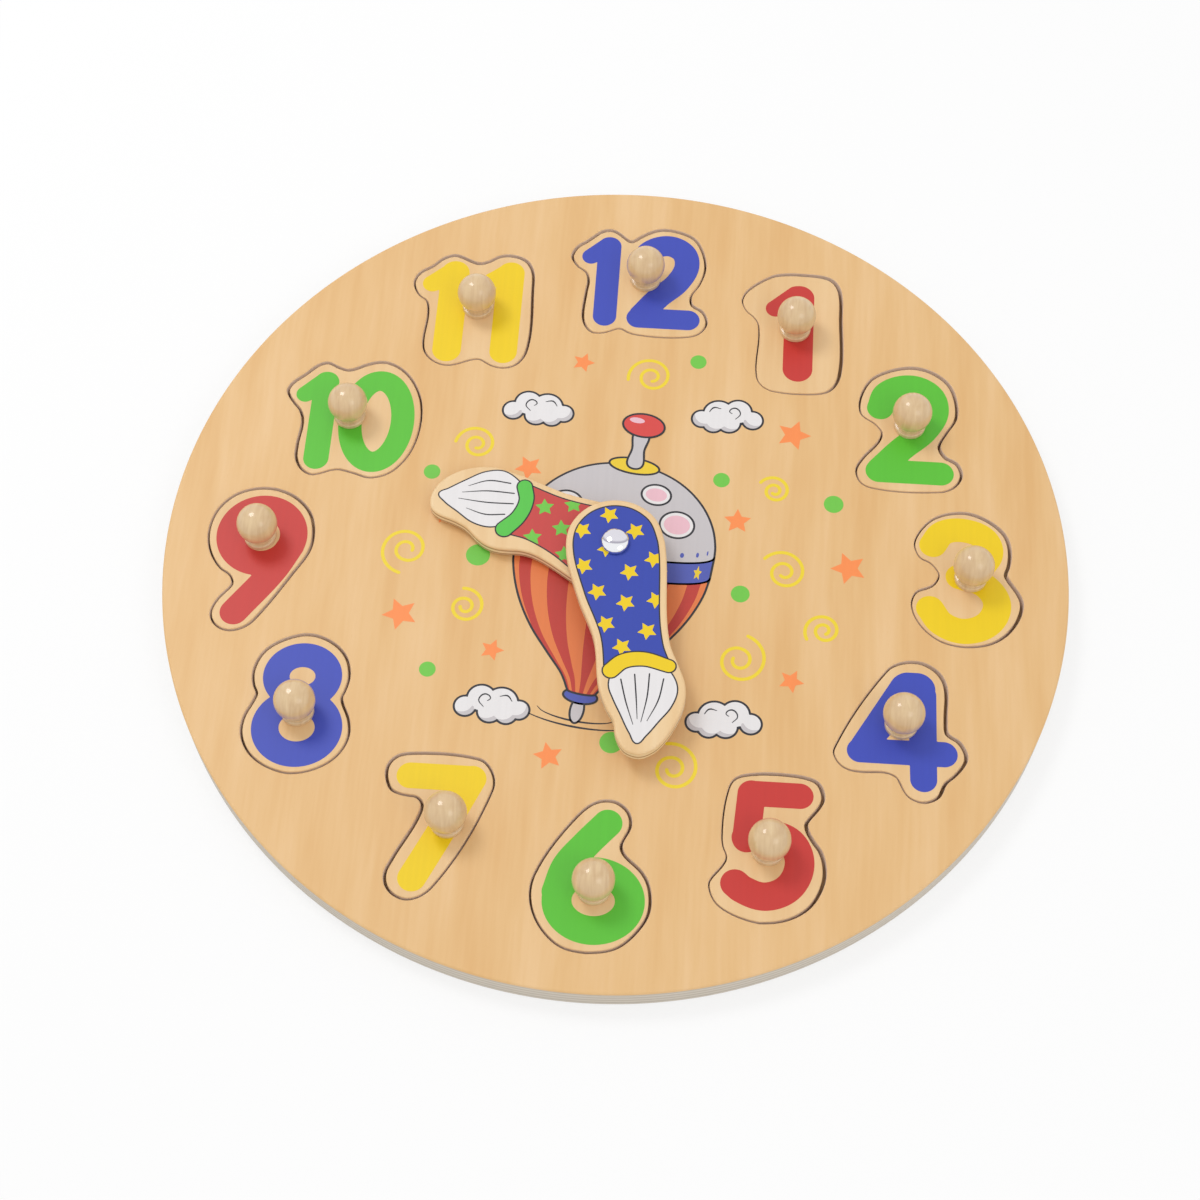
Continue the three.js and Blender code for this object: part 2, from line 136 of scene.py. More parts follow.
def set_ramp(node: bpy.types.Node, stops: Sequence[tuple[float, str]]) -> None:
    """Sets a colour ramp's stops.

    Args:
        node: the colour ramp.
        stops: a place from 0 to 1 and a hex colour for each stop, in order.
    """
    elements = node.color_ramp.elements
    while len(elements) < len(stops):
        elements.new(1.0)
    for element, (place, code) in zip(elements, stops):
        element.position = place
        element.color = linear(code)


def add_fibres(tree: bpy.types.NodeTree, place: bpy.types.NodeSocket, size: Sequence[float],
               settings: dict) -> bpy.types.NodeSocket:
    """Adds a noise whose grains have a real size.

    Args:
        tree: the node tree that takes it.
        place: the place on the object.
        size: how far the grains reach along X, Y and Z, in millimetres.
        settings: the noise's settings.

    Returns:
        The noise's strength.
    """
    scaled = add_node(tree, "ShaderNodeMapping", {"Scale": per_mm(*size)}, {"Vector": place})
    noise = add_node(tree, "ShaderNodeTexNoise", {"Scale": 1.0, **settings}, {"Vector": scaled.outputs[0]})
    return noise.outputs["Fac"]


def quarter_turns(steps: int) -> list[float]:
    """Gives the angles that share out a quarter turn, both its ends among them."""
    return [math.pi / 2 * k / steps for k in range(steps + 1)]


def smooth_line(points: Sequence[Point], closed: bool, step: float) -> np.ndarray:
    """Runs a smooth line through chosen points.

    Args:
        points: the points, in order.
        closed: whether the line returns to its first point.
        step: the longest chord of the result.

    Returns:
        The line's points, without a repeat of the first where it is closed.
    """
    chosen = np.asarray(points, float)
    if closed:
        before, after = np.roll(chosen, 1, axis=0), np.roll(chosen, -1, axis=0)
    else:
        before = np.vstack([2 * chosen[0] - chosen[1], chosen[:-1]])
        after = np.vstack([chosen[1:], 2 * chosen[-1] - chosen[-2]])
    run_in, run_out = chosen - before, after - chosen
    tangents = run_in / np.linalg.norm(run_in, axis=1, keepdims=True)
    tangents += run_out / np.linalg.norm(run_out, axis=1, keepdims=True)
    tangents /= np.linalg.norm(tangents, axis=1, keepdims=True)
    line = []
    spans = len(chosen) if closed else len(chosen) - 1
    for k in range(spans):
        start, end = chosen[k], chosen[(k + 1) % len(chosen)]
        chord = float(np.linalg.norm(end - start))
        t = np.linspace(0, 1, max(1, math.ceil(chord / step)), endpoint=False)[:, None]
        lead, trail = tangents[k] * chord, tangents[(k + 1) % len(chosen)] * chord
        line.append(
            (2 * t**3 - 3 * t**2 + 1) * start + (t**3 - 2 * t**2 + t) * lead
            + (3 * t**2 - 2 * t**3) * end + (t**3 - t**2) * trail
        )
    if not closed:
        line.append(chosen[-1:])
    return np.vstack(line)


@dataclass(frozen=True)
class Outline:
    """A closed line in plan, counter-clockwise."""

    points: np.ndarray

    @staticmethod
    def oval(centre: Point, radii: Point, count: int = 40) -> "Outline":
        """Draws an upright oval.

        Args:
            centre: its middle.
            radii: its half-width and its half-height.
            count: how many points go round it.

        Returns:
            The oval.
        """
        angles = np.arange(count) * 2 * math.pi / count
        ring = np.column_stack([np.cos(angles), np.sin(angles)])
        return Outline(ring * np.asarray(radii) + np.asarray(centre))

    @staticmethod
    def circle(centre: Point, radius: float, count: int) -> "Outline":
        """Gives a circle of a number of points."""
        return Outline.oval(centre, (radius, radius), count)

    @staticmethod
    def smooth(points: Sequence[Point], step: float = 0.7) -> "Outline":
        """Gives a smooth closed line through chosen points."""
        return Outline(smooth_line(points, True, step)).counter_clockwise()

    @staticmethod
    def joined(*lines: np.ndarray) -> "Outline":
        """Gives the closed line that runs through some lines one after another."""
        return Outline(np.vstack(lines)).counter_clockwise()

    def area(self) -> float:
        """Gives the enclosed area, negative where the line runs clockwise."""
        x, y = self.points.T
        return float(np.sum(x * np.roll(y, -1) - y * np.roll(x, -1)) / 2)

    def counter_clockwise(self) -> "Outline":
        """Gives the same line, run counter-clockwise."""
        return self if self.area() > 0 else Outline(self.points[::-1])

    def moved(self, place: Point, degrees: float = 0.0, scale: float = 1.0) -> "Outline":
        """Scales the line, turns it about the origin and then moves it.

        Args:
            place: where the origin goes.
            degrees: how far it turns, counter-clockwise.
            scale: how many times larger it becomes.

        Returns:
            The line in its new place.
        """
        angle = math.radians(degrees)
        turn = np.array([[math.cos(angle), math.sin(angle)], [-math.sin(angle), math.cos(angle)]])
        return Outline(self.points @ turn * scale + np.asarray(place))

    def outward(self) -> np.ndarray:
        """Finds which way is out at each point.

        Returns:
            The unit normals that point out of the line.
        """
        along = np.roll(self.points, -1, axis=0) - np.roll(self.points, 1, axis=0)
        along /= np.linalg.norm(along, axis=1, keepdims=True)
        return np.column_stack([along[:, 1], -along[:, 0]])

    def offset(self, distance: float) -> "Outline":
        """Gives the line moved out by a distance, or in where it is negative."""
        return Outline(self.points + self.outward() * distance)


def node_outlines(node: str, height: float) -> list[Outline]:
    """Reads a frame node's outlines at one height, with its facets smoothed.

    Args:
        node: the node's name.
        height: the height of the cut.

    Returns:
        Every closed outline there, the longest first.
    """
    mesh = bmesh.new()
    mesh.from_mesh(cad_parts[node].data)
    bmesh.ops.remove_doubles(mesh, verts=mesh.verts, dist=WELD)
    cut = bmesh.ops.bisect_plane(
        mesh, geom=[*mesh.verts, *mesh.edges, *mesh.faces], plane_co=(0, 0, height * MM), plane_no=(0, 0, 1)
    )
    neighbours: dict[bmesh.types.BMVert, list[bmesh.types.BMVert]] = {}
    for edge in cut["geom_cut"]:
        if isinstance(edge, bmesh.types.BMEdge):
            for vert in edge.verts:
                neighbours.setdefault(vert, []).append(edge.other_vert(vert))
    outlines = []
    left = dict.fromkeys(neighbours)
    while left:
        loop = [left.popitem()[0]]
        while following := [vert for vert in neighbours[loop[-1]] if vert in left]:
            loop.append(following[0])
            left.pop(following[0])
        points = np.array([[vert.co.x / MM, vert.co.y / MM] for vert in loop])
        run_in = points - np.roll(points, 1, axis=0)
        run_out = np.roll(points, -1, axis=0) - points
        turns = np.abs(run_in[:, 0] * run_out[:, 1] - run_in[:, 1] * run_out[:, 0])
        turns /= np.linalg.norm(run_in, axis=1) * np.linalg.norm(run_out, axis=1)
        outlines.append(Outline.smooth(points[turns > math.sin(math.radians(FACET_TURN))]))
    mesh.free()
    return sorted(outlines, key=lambda outline: -outline.area())


@dataclass(frozen=True)
class Grid:
    """An even grid in plan, on which a shape is a field of signed distances, negative inside it."""

    low: Point
    high: Point
    step: float

    @staticmethod
    def over(points: np.ndarray, margin: float | Point, step: float) -> "Grid":
        """Gives a grid that covers some points and a margin round them."""
        return Grid(tuple(points.min(axis=0) - margin), tuple(points.max(axis=0) + margin), step)

    @cached_property
    def xs(self) -> np.ndarray:
        """The grid's places along X."""
        return np.arange(self.low[0], self.high[0] + self.step, self.step)

    @cached_property
    def ys(self) -> np.ndarray:
        """The grid's places along Y."""
        return np.arange(self.low[1], self.high[1] + self.step, self.step)

    @cached_property
    def places(self) -> np.ndarray:
        """Every grid point, by row and column."""
        return np.stack(np.meshgrid(self.xs, self.ys), axis=-1)

    def to_segment(self, start: np.ndarray, end: np.ndarray) -> tuple[np.ndarray, np.ndarray]:
        """Measures each point's distance to a segment.

        Args:
            start: the segment's start.
            end: its end.

        Returns:
            The distances, and how far along the segment the nearest place lies, from 0 to 1.
        """
        along = end - start
        share = np.clip((self.places - start) @ along / max(float(along @ along), NO_LENGTH), 0, 1)
        return np.linalg.norm(self.places - start - share[..., None] * along, axis=-1), share

    def stroke(self, line: np.ndarray, widths: Sequence[float]) -> np.ndarray:
        """Draws a brush stroke with round ends.

        Args:
            line: the stroke's centre line.
            widths: half-widths, spread evenly along the line.

        Returns:
            The stroke's field.
        """
        spread = np.interp(np.linspace(0, 1, len(line)), np.linspace(0, 1, len(widths)), widths)
        shape = np.full(self.places.shape[:2], np.inf)
        for k in range(len(line) - 1):
            distance, share = self.to_segment(line[k], line[k + 1])
            shape = np.minimum(shape, distance - (spread[k] + share * (spread[k + 1] - spread[k])))
        return shape

    def inside(self, outline: Outline) -> np.ndarray:
        """Draws the inside of an outline.

        Args:
            outline: the outline.

        Returns:
            The inside's field.
        """
        distance = np.full(self.places.shape[:2], np.inf)
        crossings = np.zeros(self.places.shape[:2], int)
        ends = np.roll(outline.points, -1, axis=0)
        x, y = self.places[..., 0], self.places[..., 1]
        for start, end in zip(outline.points, ends):
            distance = np.minimum(distance, self.to_segment(start, end)[0])
            if start[1] != end[1]:
                spans = (start[1] > y) != (end[1] > y)
                reach = start[0] + (y - start[1]) * (end[0] - start[0]) / (end[1] - start[1])
                crossings += spans & (x < reach)
        return np.where(crossings % 2 == 1, -distance, distance)

    def contours(self, shape: np.ndarray) -> list[np.ndarray]:
        """Traces a field's zero lines. Points closer than a quarter of a step would make slivers, so of
        those only one stays.

        Args:
            shape: the field.

        Returns:
            Closed lines with the shape on their left, so that holes run clockwise.
        """
        within = shape < 0
        counts = within[:-1, :-1].astype(int) + within[:-1, 1:] + within[1:, 1:] + within[1:, :-1]
        follows: dict[tuple[int, int, int, int], tuple[int, int, int, int]] = {}
        for row, column in np.argwhere((counts > 0) & (counts < 4)).tolist():
            corners = [(row, column), (row, column + 1), (row + 1, column + 1), (row + 1, column)]
            crossed = []
            for corner, other in zip(corners, [*corners[1:], corners[0]]):
                if within[corner] != within[other]:
                    crossed.append((within[corner], (*min(corner, other), *max(corner, other))))
            for k, (leaving, key) in enumerate(crossed):
                if leaving:
                    follows[key] = crossed[(k + 1) % len(crossed)][1]
        lines = []
        while follows:
            start, key = follows.popitem()
            loop = [start]
            while key != start:
                loop.append(key)
                key = follows.pop(key)
            line = []
            for row, column, other_row, other_column in loop:
                first, second = shape[row, column], shape[other_row, other_column]
                share = first / (first - second)
                here, there = self.places[row, column], self.places[other_row, other_column]
                line.append(here + share * (there - here))
            spaced = np.array(line)
            gaps = np.linalg.norm(spaced - np.roll(spaced, 1, axis=0), axis=1)
            lines.append(spaced[gaps > self.step / 4])
        return lines


@dataclass
class MeshDraft:
    """A mesh being drawn: its points, its faces and each face's material."""

    points: list[Place] = field(default_factory=list)
    faces: list[tuple[int, ...]] = field(default_factory=list)
    finishes: list[int] = field(default_factory=list)

    def ring(self, plan: np.ndarray, height: float) -> list[int]:
        """Adds a ring of points.

        Args:
            plan: the points in plan.
            height: the height at which they lie.

        Returns:
            The new points' numbers.
        """
        first = len(self.points)
        self.points += [(float(x), float(y), float(height)) for x, y in plan]
        return list(range(first, first + len(plan)))

    def strip(self, low: Sequence[int], high: Sequence[int], finish: int) -> None:
        """Joins two rings whose outside is on the right of their run.

        Args:
            low: one ring's numbers.
            high: the other's, as many, above the first on an outer side.
            finish: the faces' finish.
        """
        count = len(low)
        for k in range(count):
            after = (k + 1) % count
            self.face((low[k], low[after], high[after], high[k]), finish)

    def face(self, corners: Sequence[int], finish: int) -> None:
        """Adds one flat face."""
        self.faces.append(tuple(corners))
        self.finishes.append(finish)

    def fill(self, rings: Sequence[Sequence[int]], up: bool, finish: int) -> None:
        """Fills the flat space between rings.

        Args:
            rings: the outer ring's numbers, and those of the holes in it.
            up: whether the face looks up.
            finish: the faces' finish.
        """
        if len(rings) == 1:
            self.face(rings[0] if up else rings[0][::-1], finish)
            return
        flat = bmesh.new()
        numbers = {}
        for ring in rings:
            verts = [flat.verts.new(self.points[number]) for number in ring]
            numbers.update(zip(verts, ring))
            for k, vert in enumerate(verts):
                flat.edges.new((vert, verts[(k + 1) % len(verts)]))
        bmesh.ops.triangle_fill(flat, use_beauty=True, use_dissolve=False, edges=flat.edges[:])
        for triangle in flat.faces:
            corners = [numbers[vert] for vert in triangle.verts]
            a, b, c = (np.array(self.points[number][:2]) for number in corners)
            rises = np.cross(b - a, c - a) > 0
            self.face(corners if rises == up else corners[::-1], finish)
        flat.free()

    def build(self, name: str, materials: Sequence[bpy.types.Material]) -> bpy.types.Object:
        """Makes the object, in metres.

        Args:
            name: the piece's name.
            materials: the materials that the faces' numbers count in.

        Returns:
            The new object.
        """
        mesh = bpy.data.meshes.new(name)
        mesh.from_pydata([Vector(point) * MM for point in self.points], [], self.faces)
        for material in materials:
            mesh.materials.append(material)
        mesh.polygons.foreach_set("material_index", self.finishes)
        mesh.polygons.foreach_set("use_smooth", [True] * len(mesh.polygons))
        mesh.validate()
        mesh.set_sharp_from_angle(angle=math.radians(CRISP_TURN))
        piece = bpy.data.objects.new(name, mesh)
        bpy.context.scene.collection.objects.link(piece)
        return piece


def draw_plate(draft: MeshDraft, outer: Outline, edge: Edge, holes: Sequence[tuple[Outline, Edge]],
               side_top: float) -> None:
    """Draws a plate whose edges step through rings.

    Args:
        draft: the mesh that takes it.
        outer: the outline round the plate.
        edge: an offset and a height for each ring of its edge, bottom first.
        holes: an outline and an edge for each hole.
        side_top: the height below which the edges have the side's finish.
    """
    bottoms, tops = [], []
    for outline, rings in [(outer, edge), *holes]:
        hole = outline is not outer
        drawn = [draft.ring(outline.offset(distance).points, height) for distance, height in rings]
        for (low, high), (_, height) in zip(zip(drawn, drawn[1:]), rings):
            finish = 1 if height < side_top else 0
            draft.strip(high if hole else low, low if hole else high, finish)
        bottoms.append(drawn[0])
        tops.append(drawn[-1])
    draft.fill(bottoms, False, 0)
    draft.fill(tops, True, 0)


def draw_turned(draft: MeshDraft, profile: Edge, centre: Point, base: float, facets: int) -> None:
    """Draws a turned body.

    Args:
        draft: the mesh that takes it.
        profile: a radius and a height for each step, from the axis below to the axis above.
        centre: where the axis stands.
        base: the height that the profile's heights count from.
        facets: how many facets go round.
    """
    circle = Outline.circle((0, 0), 1, facets).points
    rings = [draft.ring(circle * radius + np.asarray(centre), base + height)
             for radius, height in profile[1:-1]]
    for low, high in zip(rings, rings[1:]):
        draft.strip(low, high, 0)
    for ring, (_, height), up in ((rings[0], profile[0], False), (rings[-1], profile[-1], True)):
        pole = draft.ring(np.asarray([centre]), base + height)[0]
        for k, number in enumerate(ring):
            after = ring[(k + 1) % len(ring)]
            draft.face((number, after, pole) if up else (after, number, pole), 0)


def rounded(radius: float, top: float, steps: int = 4) -> list[Point]:
    """Draws a rounded upper edge.

    Args:
        radius: the rounding's radius.
        top: the height of the face above it.
        steps: how many facets round it.

    Returns:
        An offset and a height for each ring, the lowest first and the bed last.
    """
    arc = [(radius * (math.cos(turn) - 1), top - radius * (1 - math.sin(turn)))
           for turn in quarter_turns(steps)]
    return [*arc, (-radius - BED, top)]


def rounded_both(radius: float, bottom: float, top: float) -> list[Point]:
    """Draws an edge that is rounded below and above.

    Args:
        radius: the roundings' radius.
        bottom: the height of the face below.
        top: the height of the face above.

    Returns:
        An offset and a height for each ring, the lowest first.
    """
    upper = rounded(radius, top)
    lower = [(distance, bottom + top - height) for distance, height in reversed(upper)]
    return [*lower, *upper]


@dataclass(frozen=True)
class Finish:
    """A finish of the object. Each kind adds its own nodes. Its pattern is laid out in the object's own
    space, where its real sizes hold, and moves with the object."""

    name: str

    def surface(self, tree: bpy.types.NodeTree, place: bpy.types.NodeSocket) -> bpy.types.Node:
        """Adds the nodes of the finish.

        Args:
            tree: the material's node tree.
            place: the place on the object.

        Returns:
            The shader.
        """
        raise NotImplementedError

    def material(self) -> bpy.types.Material:
        """Makes the finish's material.

        Returns:
            The new material.
        """
        material = bpy.data.materials.new(self.name)
        tree = empty_tree(material)
        shader = self.surface(tree, add_node(tree, "ShaderNodeTexCoord").outputs["Object"])
        add_node(tree, "ShaderNodeOutputMaterial", links={"Surface": shader.outputs[0]})
        return material


@dataclass(frozen=True)
class Veneer(Finish):
    """Basswood veneer, rotary cut and under clear satin lacquer. It gives the eye soft upright bands and
    patches, faint fibre streaks, hardly a pore, and a broad, even sheen."""

    light: str
    middle: str
    dark: str
    drift: float = 45.0
    sway: float = 3.0
    band: Point = (11.0, 90.0)
    streak: Point = (1.6, 30.0)
    # Real pores are under 0.1 mm wide. These are drawn coarser, so that they show
    pore: Point = (0.3, 2.4)
    streak_share: float = 0.22
    stops: Place = (0.32, 0.5, 0.68)
    relief: float = 0.012
    roughness: float = 0.5

    def surface(self, tree: bpy.types.NodeTree, place: bpy.types.NodeSocket) -> bpy.types.Node:
        """Adds swaying bands, streaks and pores, each a noise that is drawn out along the grain.

        Args:
            tree: the material's node tree.
            place: the place on the object.

        Returns:
            The shader.
        """
        drift = add_node(tree, "ShaderNodeTexNoise", {"Scale": per_mm(self.drift)[0], "Detail": 1.0},
                         {"Vector": place})
        sway = add_node(tree, "ShaderNodeVectorMath",
                        {"operation": "MULTIPLY_ADD", 1: (self.sway * MM, 0, 0)},
                        {0: drift.outputs["Color"], 2: place})
        bands, streaks, pores = (
            add_fibres(tree, sway.outputs[0], (width, length, width), {"Detail": detail, "Roughness": 0.55})
            for (width, length), detail in ((self.band, 3.0), (self.streak, 2.0), (self.pore, 1.0))
        )
        grain = add_node(tree, "ShaderNodeMix", {"data_type": "FLOAT", "Factor": self.streak_share},
                         {"A": bands, "B": streaks})
        tone = add_node(tree, "ShaderNodeValToRGB", links={"Fac": grain.outputs[0]})
        set_ramp(tone, list(zip(self.stops, (self.dark, self.middle, self.light))))
        flecks = add_node(tree, "ShaderNodeMapRange", {"From Min": 0.62, "From Max": 0.8, "To Max": 0.25},
                          {"Value": pores})
        wood = add_node(tree, "ShaderNodeMix", {"data_type": "RGBA", "B": linear(self.dark)},
                        {"Factor": flecks.outputs[0], "A": tone.outputs["Color"]})
        raised = add_node(tree, "ShaderNodeMix", {"data_type": "FLOAT", "Factor": 0.5},
                          {"A": streaks, "B": pores})
        bump = add_node(tree, "ShaderNodeBump", {"Strength": 0.35, "Distance": self.relief * MM},
                        {"Height": raised.outputs[0]})
        return add_node(tree, "ShaderNodeBsdfPrincipled", {"Roughness": self.roughness, "IOR": 1.5},
                        {"Base Color": wood.outputs["Result"], "Normal": bump.outputs[0]})


@dataclass(frozen=True)
class PlyEdge(Finish):
    """Plywood edge, sawn and left bare. It gives the eye level bands, where plies lie with the grain and
    across it, and a fibrous surface that looks matt."""

    light: str
    dark: str
    # Plies can be thinner than this. They are drawn coarser, so that they show
    ply: float = 1.2
    fibre: Place = (2.5, 2.5, 0.4)
    fibre_share: float = 0.6
    dark_to: float = 0.2
    pale_from: float = 0.8
    relief: float = 0.04
    roughness: float = 0.7

    def surface(self, tree: bpy.types.NodeTree, place: bpy.types.NodeSocket) -> bpy.types.Node:
        """Adds the plies as level waves, broken up by short level fibres.

        Args:
            tree: the material's node tree.
            place: the place on the object.

        Returns:
            The shader.
        """
        plies = add_node(tree, "ShaderNodeTexWave",
                         {"wave_type": "BANDS", "bands_direction": "Z", "Distortion": 0.3, "Detail": 2.0,
                          "Scale": WAVE_LENGTH / (self.ply * 2 * MM)}, {"Vector": place})
        fibres = add_fibres(tree, place, self.fibre, {"Detail": 3.0})
        blend = add_node(tree, "ShaderNodeMix", {"data_type": "FLOAT", "Factor": self.fibre_share},
                         {"A": plies.outputs["Fac"], "B": fibres})
        tone = add_node(tree, "ShaderNodeValToRGB", links={"Fac": blend.outputs[0]})
        set_ramp(tone, [(self.dark_to, self.dark), (self.pale_from, self.light)])
        bump = add_node(tree, "ShaderNodeBump", {"Strength": 0.4, "Distance": self.relief * MM},
                        {"Height": fibres})
        return add_node(tree, "ShaderNodeBsdfPrincipled", {"Roughness": self.roughness, "IOR": 1.5},
                        {"Base Color": tone.outputs["Color"], "Normal": bump.outputs[0]})


@dataclass(frozen=True)
class TurnedWood(Finish):
    """Birch, turned and dipped in gloss lacquer. It gives the eye growth rings a little over a millimetre
    apart, drawn out upwards, under a clear coat that looks wet."""

    light: str
    dark: str
    ring: Place = (1.6, 8.0, 14.4)
    dark_to: float = 0.25
    pale_from: float = 0.75
    relief: float = 0.02
    roughness: float = 0.4
    coat: float = 0.8
    coat_roughness: float = 0.07

    def surface(self, tree: bpy.types.NodeTree, place: bpy.types.NodeSocket) -> bpy.types.Node:
        """Adds the rings as a noise drawn out along the grain, and the coat.

        Args:
            tree: the material's node tree.
            place: the place on the object.

        Returns:
            The shader.
        """
        rings = add_fibres(tree, place, self.ring, {"Detail": 4.0, "Distortion": 0.6})
        tone = add_node(tree, "ShaderNodeValToRGB", links={"Fac": rings})
        set_ramp(tone, [(self.dark_to, self.dark), (self.pale_from, self.light)])
        bump = add_node(tree, "ShaderNodeBump", {"Strength": 0.25, "Distance": self.relief * MM},
                        {"Height": rings})
        return add_node(tree, "ShaderNodeBsdfPrincipled",
                        {"Roughness": self.roughness, "IOR": 1.5, "Coat Weight": self.coat,
                         "Coat Roughness": self.coat_roughness},
                        {"Base Color": tone.outputs["Color"], "Normal": bump.outputs[0]})


@dataclass(frozen=True)
class PrintedInk(Finish):
    """Ink, screen printed under the same lacquer as the wood's. It gives the eye one full, satin colour,
    a little thinner where the wood's fibres stand up through it."""

    code: str
    thin_share: float = 0.975
    # Real fibres are a few hundredths of a millimetre wide. These are drawn coarser, so that they show
    fibre: Place = (1.3, 38.0, 1.3)
    relief: float = 0.015
    roughness: float = 0.45

    def surface(self, tree: bpy.types.NodeTree, place: bpy.types.NodeSocket) -> bpy.types.Node:
        """Adds the ink's full and thin tones, and the fibres under it.

        Args:
            tree: the material's node tree.
            place: the place on the object.

        Returns:
            The shader.
        """
        fibres = add_fibres(tree, place, self.fibre, {"Detail": 3.0})
        full = linear(self.code)
        thin = (*(channel * self.thin_share for channel in full[:3]), 1.0)
        cover = add_node(tree, "ShaderNodeMapRange", {"From Min": 0.35, "From Max": 0.65}, {"Value": fibres})
        tone = add_node(tree, "ShaderNodeMix", {"data_type": "RGBA", "A": thin, "B": full},
                        {"Factor": cover.outputs[0]})
        bump = add_node(tree, "ShaderNodeBump", {"Strength": 0.12, "Distance": self.relief * MM},
                        {"Height": fibres})
        return add_node(tree, "ShaderNodeBsdfPrincipled", {"Roughness": self.roughness, "IOR": 1.5},
                        {"Base Color": tone.outputs["Result"], "Normal": bump.outputs[0]})


@dataclass(frozen=True)
class PlatedMetal(Finish):
    """Steel, plated with polished chrome or with zinc. It gives the eye a mirror on the post, and a soft
    grey shine on the screws."""

    code: str
    roughness: float
    scuff_share: float = 0.03
    # Real scuffs are hair-fine. These are drawn coarser, so that they show
    scuff: float = 0.8

    def surface(self, tree: bpy.types.NodeTree, place: bpy.types.NodeSocket) -> bpy.types.Node:
        """Adds the plating, duller where it is scuffed.

        Args:
            tree: the material's node tree.
            place: the place on the object.

        Returns:
            The shader.
        """
        scuffs = add_node(tree, "ShaderNodeTexNoise", {"Scale": per_mm(self.scuff)[0], "Detail": 2.0},
                          {"Vector": place})
        sheen = add_node(tree, "ShaderNodeMapRange",
                         {"To Min": self.roughness, "To Max": self.roughness + self.scuff_share},
                         {"Value": scuffs.outputs["Fac"]})
        return add_node(tree, "ShaderNodeBsdfPrincipled", {"Base Color": linear(self.code), "Metallic": 1.0},
                        {"Roughness": sheen.outputs[0]})


@dataclass(frozen=True)
class PressedFibre(Finish):
    """Vulcanised fibre, pressed and punched into washers. It gives the eye a chalky, faintly speckled and
    quite matt surface."""

    light: str
    dark: str
    # Real specks are about 0.1 mm wide. These are drawn coarser, so that they show
    speck: float = 0.4
    dark_to: float = 0.3
    pale_from: float = 0.7
    roughness: float = 0.85

    def surface(self, tree: bpy.types.NodeTree, place: bpy.types.NodeSocket) -> bpy.types.Node:
        """Adds the specks.

        Args:
            tree: the material's node tree.
            place: the place on the object.

        Returns:
            The shader.
        """
        specks = add_node(tree, "ShaderNodeTexNoise", {"Scale": per_mm(self.speck)[0], "Detail": 3.0},
                          {"Vector": place})
        tone = add_node(tree, "ShaderNodeValToRGB", links={"Fac": specks.outputs["Fac"]})
        set_ramp(tone, [(self.dark_to, self.dark), (self.pale_from, self.light)])
        return add_node(tree, "ShaderNodeBsdfPrincipled", {"Roughness": self.roughness, "IOR": 1.5},
                        {"Base Color": tone.outputs["Color"]})


class Ink(Enum):
    """The printing inks, each as its sRGB colour."""

    TILE_RED = "#CC352E"
    TILE_GREEN = "#5AC430"
    TILE_YELLOW = "#F5D200"
    TILE_BLUE = "#3A4BBA"
    STAR_ORANGE = "#FF9350"
    DOT_GREEN = "#72CA47"
    SPIRAL_YELLOW = "#F4D830"
    SLEEVE_BLUE = "#2C43AC"
    SLEEVE_RED = "#CA4440"
    CUFF_GREEN = "#57C748"
    CUFF_YELLOW = "#F3D000"
    WHITE = "#ECE9E9"
    GREY = "#CBC6C8"
    PINK = "#EFC0CC"
    RED = "#DC4843"
    VIOLET = "#505CB4"
    STRIPE_RED = "#C23B30"
    STRIPE_ORANGE = "#E87F44"
    YELLOW = "#F0CE30"
    DARK = "#232329"

    @cached_property
    def material(self) -> bpy.types.Material:
        """The ink's material, made once."""
        return PrintedInk(f"screen_ink_{self.name.lower()}", self.value).material()


def surrounds(line: np.ndarray, place: np.ndarray) -> bool:
    """Says whether a closed line goes round a place.

    Args:
        line: the line's points.
        place: the place.

    Returns:
        True where the place is inside the line.
    """
    ends = np.roll(line, -1, axis=0)
    spans = (line[:, 1] > place[1]) != (ends[:, 1] > place[1])
    start, end = line[spans], ends[spans]
    reach = start[:, 0] + (place[1] - start[:, 1]) * (end[:, 0] - start[:, 0]) / (end[:, 1] - start[:, 1])
    return int(np.sum(place[0] < reach)) % 2 == 1


